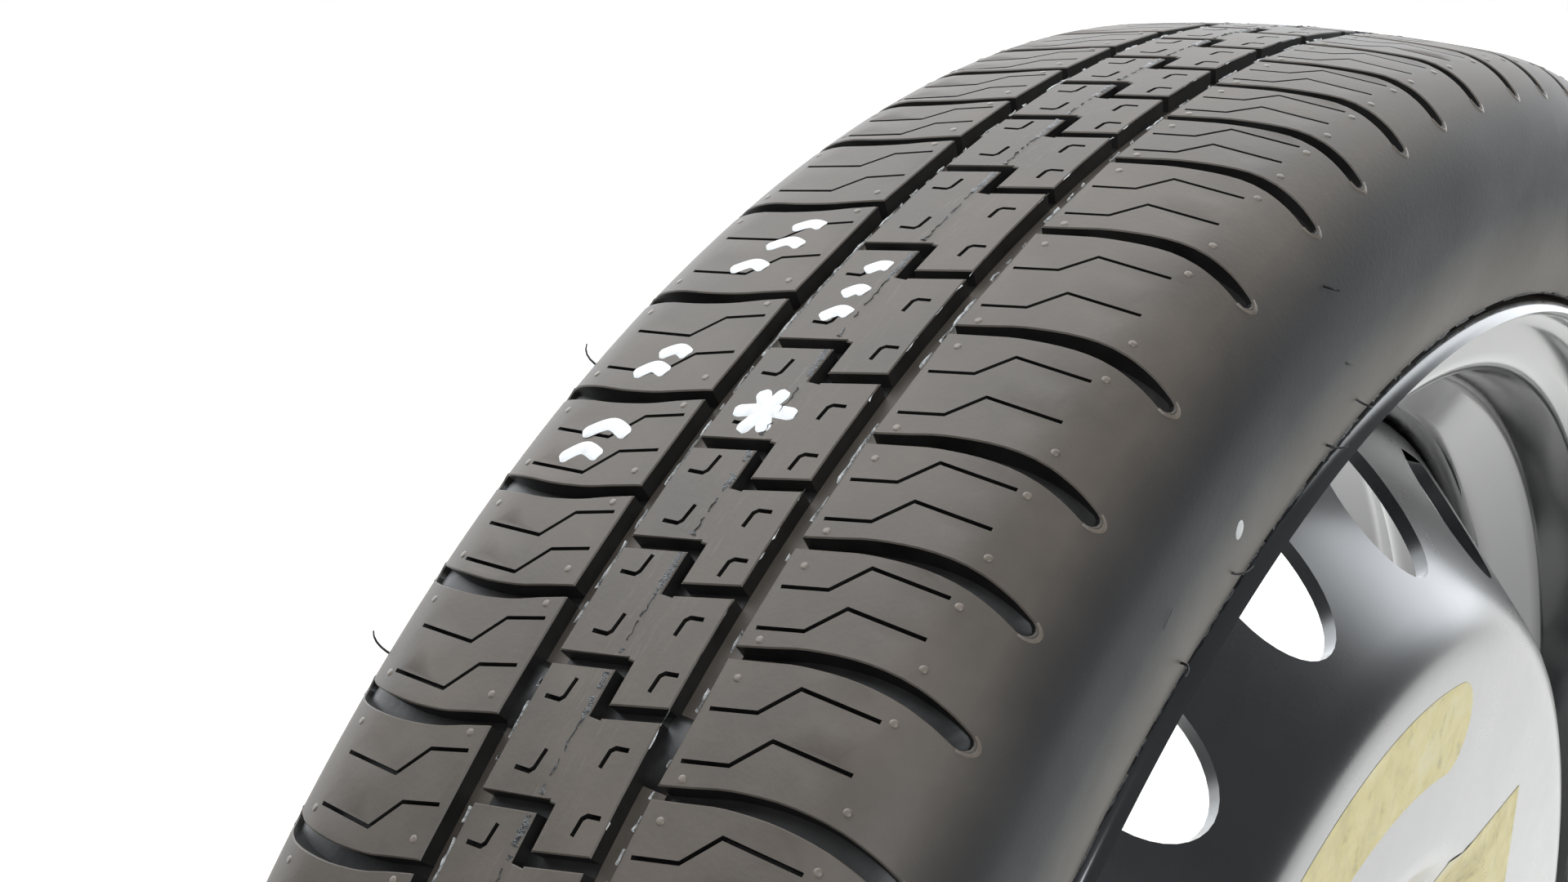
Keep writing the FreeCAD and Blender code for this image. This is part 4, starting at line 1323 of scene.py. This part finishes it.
class OBJECT_OT_wheel_marks(bpy.types.Operator):
    """Add the plain stickers on the disc and the white paint on the tyre"""

    bl_idname = "object.wheel_marks"
    bl_label = "Stickers and paint marks"

    def execute(self, context):
        wheel = context.scene.wheel_steel
        form = TyreForm(context.scene.wheel_tyre)
        paint = Skin()
        for dab in DABS:
            self.add_dab(paint, form, dab)
        self.add_dot(paint, form)
        paint.piece("white_paint", paint_mark(), "tyre")
        front = disc_sides(wheel)[0]
        stickers = Skin()
        self.add_ring_sticker(stickers, front)
        self.add_square_sticker(stickers, front)
        stickers.piece("stickers", sticker_paper(wheel), "steel")
        return {"FINISHED"}

    @staticmethod
    def add_dab(skin, form, dab):
        """A brush stroke laid on the tread along a smooth line."""
        line = [Vector((across, math.radians(degrees) * form.radius)) for across, degrees in dab]
        smooth = []
        for index in range(len(line) - 1):
            before = line[max(index - 1, 0)]
            after = line[min(index + 2, len(line) - 1)]
            bend = (line[index + 1] - before) * 0.5
            leave = (after - line[index]) * 0.5
            for step in range(DAB_STEPS):
                share = step / DAB_STEPS
                cube = share ** 3
                square = share ** 2
                smooth.append(line[index] * (2 * cube - 3 * square + 1) + bend * (cube - 2 * square + share)
                              + line[index + 1] * (3 * square - 2 * cube) + leave * (cube - square))
        smooth.append(line[-1])
        rows = []
        for index, spot in enumerate(smooth):
            way = (smooth[min(index + 1, len(smooth) - 1)] - smooth[max(index - 1, 0)]).normalized()
            side = Vector((-way.y, way.x))
            end = min(index, len(smooth) - 1 - index)
            wide = DAB_HALF * DAB_ENDS[min(end, 2)]
            row = []
            for share, height in DAB_SECTION:
                place = spot + side * (wide * share)
                row.append(form.point(place.x, place.y / form.radius, -height))
            rows.append(row)
        skin.add(rows)

    @staticmethod
    def add_dot(skin, form):
        """An oval dot of paint on the outer side."""
        profile = [Vector(spot) for spot in reversed(side_profile(form)[:FOOT + 1])]
        rows = []
        for share, height in DOT_RINGS:
            row = []
            for turn in turns(16):
                reach = DOT_RADIUS + DOT_HALF_OUT * share * math.sin(turn)
                row.append(ring_point(line_at(profile, reach) + height, reach,
                                      DOT_ANGLE + DOT_HALF_ROUND * share * math.cos(turn) / DOT_RADIUS))
            rows.append(row)
        skin.add(rows, closed=True, capped=True)

    @staticmethod
    def add_ring_sticker(skin, front):
        """A sticker bent along the disc's ring, round at its upper end."""
        middle = (RING_STICKER_INNER + RING_STICKER_OUTER) / 2
        half = (RING_STICKER_OUTER - RING_STICKER_INNER) / 2
        end = RING_STICKER_END - half / middle
        rows = []
        for step in range(RUN_STEPS + ROUND_STEPS + 1):
            if step <= RUN_STEPS:
                angle = RING_STICKER_START + (end - RING_STICKER_START) * step / RUN_STEPS
                reach = half
            else:
                turn = math.pi / 2 * (step - RUN_STEPS) / (ROUND_STEPS + 0.2)
                angle = end + half * math.sin(turn) / middle
                reach = half * math.cos(turn)
            row = []
            for part in range(-HALF_WIDTH_STEPS, HALF_WIDTH_STEPS + 1):
                radius = middle + reach * part / HALF_WIDTH_STEPS
                row.append(ring_point(line_at(front, radius) + RING_STICKER_LIFT, radius, angle))
            rows.append(row)
        skin.add(rows)

    @staticmethod
    def add_square_sticker(skin, front):
        """A square sticker laid over the ring and into the hub's recess."""
        left, bottom = SQUARE_CORNER
        width, height = SQUARE_SIZE
        columns, levels = SQUARE_STEPS
        rows = []
        for level in range(levels + 1):
            rise = bottom + height * level / levels
            row = []
            for column in range(columns + 1):
                place = left + width * column / columns
                out = line_at(front, math.hypot(place, rise)) + SQUARE_LIFT
                row.append(Vector((place, -out, rise)) * MM)
            rows.append(row)
        skin.add(rows)


class OBJECT_OT_wheel_valve(bpy.types.Operator):
    """Finish the air valve's rubber, brass and plastic"""

    bl_idname = "object.wheel_valve"
    bl_label = "Valve"

    def execute(self, context):
        self.finish(valve_rubber(), "valve_body", "core_seal", "housing_seal", "cap_seal")
        self.finish(turned_brass(context.scene.wheel_steel), "valve_stem", "core_housing", "core_pin")
        self.finish(cap_plastic(), "valve_cap")
        return {"FINISHED"}

    @staticmethod
    def finish(look, *nodes):
        """Give CAD nodes a material."""
        for node in nodes:
            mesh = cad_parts[node].data
            mesh.materials.clear()
            mesh.materials.append(look)
            for face in mesh.polygons:
                face.material_index = 0


# Softboxes: name, place, target, width and power, in metres and watts.
SOFTBOXES = [("top_softbox", (-0.35, 0.7, 1.6), (0.0, 0.0, 0.1), 1.3, 14.0),
             ("front_softbox", (-1.2, -1.3, 1.1), (0.0, 0.0, 0.0), 1.2, 21.0)]
SOFTBOX_TINT = (0.90, 0.95, 1.0)
ROOM_TINT = (0.92, 0.96, 1.0)
WHITE = (1.0, 1.0, 1.0)

# The room turns from dim to bright between these cosines of the angle to its bright side.
BRIGHT_EDGE = (0.30, 0.56)

# Width of the camera's frame in millimetres, on which its focal length is given.
FRAME_WIDTH = 36.0

# Edges of the floor in metres: near, far, right, left.
FLOOR_EDGES = (-0.3, 6.0, -1.1, 5.0)


class OBJECT_OT_wheel_stage(bpy.types.Operator):
    """Set up the floor, the light and the camera"""

    bl_idname = "object.wheel_stage"
    bl_label = "Stage"

    def execute(self, context):
        stage = context.scene.wheel_stage
        self.add_floor()
        self.add_world(context.scene, stage)
        for softbox in SOFTBOXES:
            self.add_lamp(*softbox)
        self.add_camera(context.scene, stage)
        return {"FINISHED"}

    @staticmethod
    def add_floor():
        """A pale floor under the wheel, plain where the camera or a mirror sees it."""
        mesh = bpy.data.meshes.new("floor")
        low = CAD_BOX[0].z
        near, far, right, left = FLOOR_EDGES
        corners = [(near, right, low), (far, right, low), (far, left, low), (near, left, low)]
        mesh.from_pydata(corners, [], [(0, 1, 2, 3)])
        floor = bpy.data.objects.new("floor", mesh)
        bpy.context.scene.collection.objects.link(floor)
        look = Look("pale_floor")
        cloud = look.noise(3.0, 3.0)
        path = look.node("ShaderNodeLightPath").outputs
        mirrored = look.math("MAXIMUM", path["Is Glossy Ray"], path["Is Transmission Ray"])
        seen = look.math("MAXIMUM", path["Is Camera Ray"], mirrored)
        look.set(Base_Color=look.ramp(cloud, [(0.3, (0.90, 0.88, 0.84)), (0.7, (0.93, 0.91, 0.87))]),
                 Roughness=0.9, Emission_Color=(1.0, 0.98, 0.94),
                 Emission_Strength=look.math("MULTIPLY", seen, 0.35))
        mesh.materials.append(look.material)

    @staticmethod
    def add_world(scene, stage):
        """A white room that is brightest on one side; the camera sees it plain white."""
        world = bpy.data.worlds.new("studio")
        world.use_nodes = True
        room = Nodes(world.node_tree)
        place = room.node("ShaderNodeTexCoord").outputs["Generated"]
        side = Vector(stage.bright_side).normalized()
        facing = room.node("ShaderNodeVectorMath", {0: place, 1: side}, operation="DOT_PRODUCT")
        level = room.spread(facing.outputs["Value"], *BRIGHT_EDGE, stage.dim, stage.bright, "SMOOTHSTEP")
        path = room.node("ShaderNodeLightPath").outputs
        seen = room.math("MAXIMUM", path["Is Camera Ray"], path["Is Transmission Ray"])
        strength = room.node("ShaderNodeMix", {0: seen, 2: level, 3: 1.0}).outputs[0]
        back = world.node_tree.nodes["Background"]
        room.feed(back.inputs["Strength"], strength)
        room.feed(back.inputs["Color"], room.blend(seen, ROOM_TINT, WHITE))
        scene.world = world

    @staticmethod
    def add_lamp(name, place, target, width, power):
        """A square softbox that faces a target."""
        lamp = bpy.data.lights.new(name, "AREA")
        lamp.shape = "SQUARE"
        lamp.size = width
        lamp.energy = power
        lamp.color = SOFTBOX_TINT
        holder = bpy.data.objects.new(name, lamp)
        holder.location = place
        holder.rotation_euler = (Vector(target) - Vector(place)).to_track_quat("-Z", "Y").to_euler()
        bpy.context.scene.collection.objects.link(holder)

    @staticmethod
    def add_camera(scene, stage):
        """The camera at the photograph's viewing angle."""
        data = bpy.data.cameras.new("camera")
        data.sensor_fit = "HORIZONTAL"
        data.sensor_width = FRAME_WIDTH
        data.lens = stage.lens
        data.clip_start = 0.01
        camera = bpy.data.objects.new("camera", data)
        camera.location = stage.camera
        camera.rotation_euler = Vector(stage.aim).to_track_quat("-Z", "Y").to_euler()
        scene.collection.objects.link(camera)
        scene.camera = camera
        scene.view_settings.view_transform = "Standard"


class VIEW3D_PT_spare_wheel(bpy.types.Panel):
    """Buttons that build the wheel"""

    bl_label = "Spare wheel"
    bl_space_type = "VIEW_3D"
    bl_region_type = "UI"
    bl_category = "Spare wheel"

    def draw(self, context):
        for operator in OPERATORS:
            self.layout.operator(operator.bl_idname)


OPERATORS = (OBJECT_OT_wheel_stage, OBJECT_OT_wheel_tyre, OBJECT_OT_wheel_moulding, OBJECT_OT_wheel_rim,
             OBJECT_OT_wheel_disc, OBJECT_OT_wheel_marks, OBJECT_OT_wheel_valve)
CLASSES = (TyreSettings, WheelSettings, StageSettings, *OPERATORS, VIEW3D_PT_spare_wheel)


def register():
    """Add the classes and their settings to Blender."""
    for item in CLASSES:
        bpy.utils.register_class(item)
    bpy.types.Scene.wheel_tyre = bpy.props.PointerProperty(type=TyreSettings)
    bpy.types.Scene.wheel_steel = bpy.props.PointerProperty(type=WheelSettings)
    bpy.types.Scene.wheel_stage = bpy.props.PointerProperty(type=StageSettings)


def unregister():
    """Take the settings and the classes out again."""
    del bpy.types.Scene.wheel_stage
    del bpy.types.Scene.wheel_steel
    del bpy.types.Scene.wheel_tyre
    for item in reversed(CLASSES):
        bpy.utils.unregister_class(item)


def main():
    """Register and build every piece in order."""
    register()
    bpy.ops.object.wheel_stage()
    bpy.ops.object.wheel_tyre()
    bpy.ops.object.wheel_moulding()
    bpy.ops.object.wheel_rim()
    bpy.ops.object.wheel_disc()
    bpy.ops.object.wheel_marks()
    bpy.ops.object.wheel_valve()


if __name__ == "__main__":
    main()
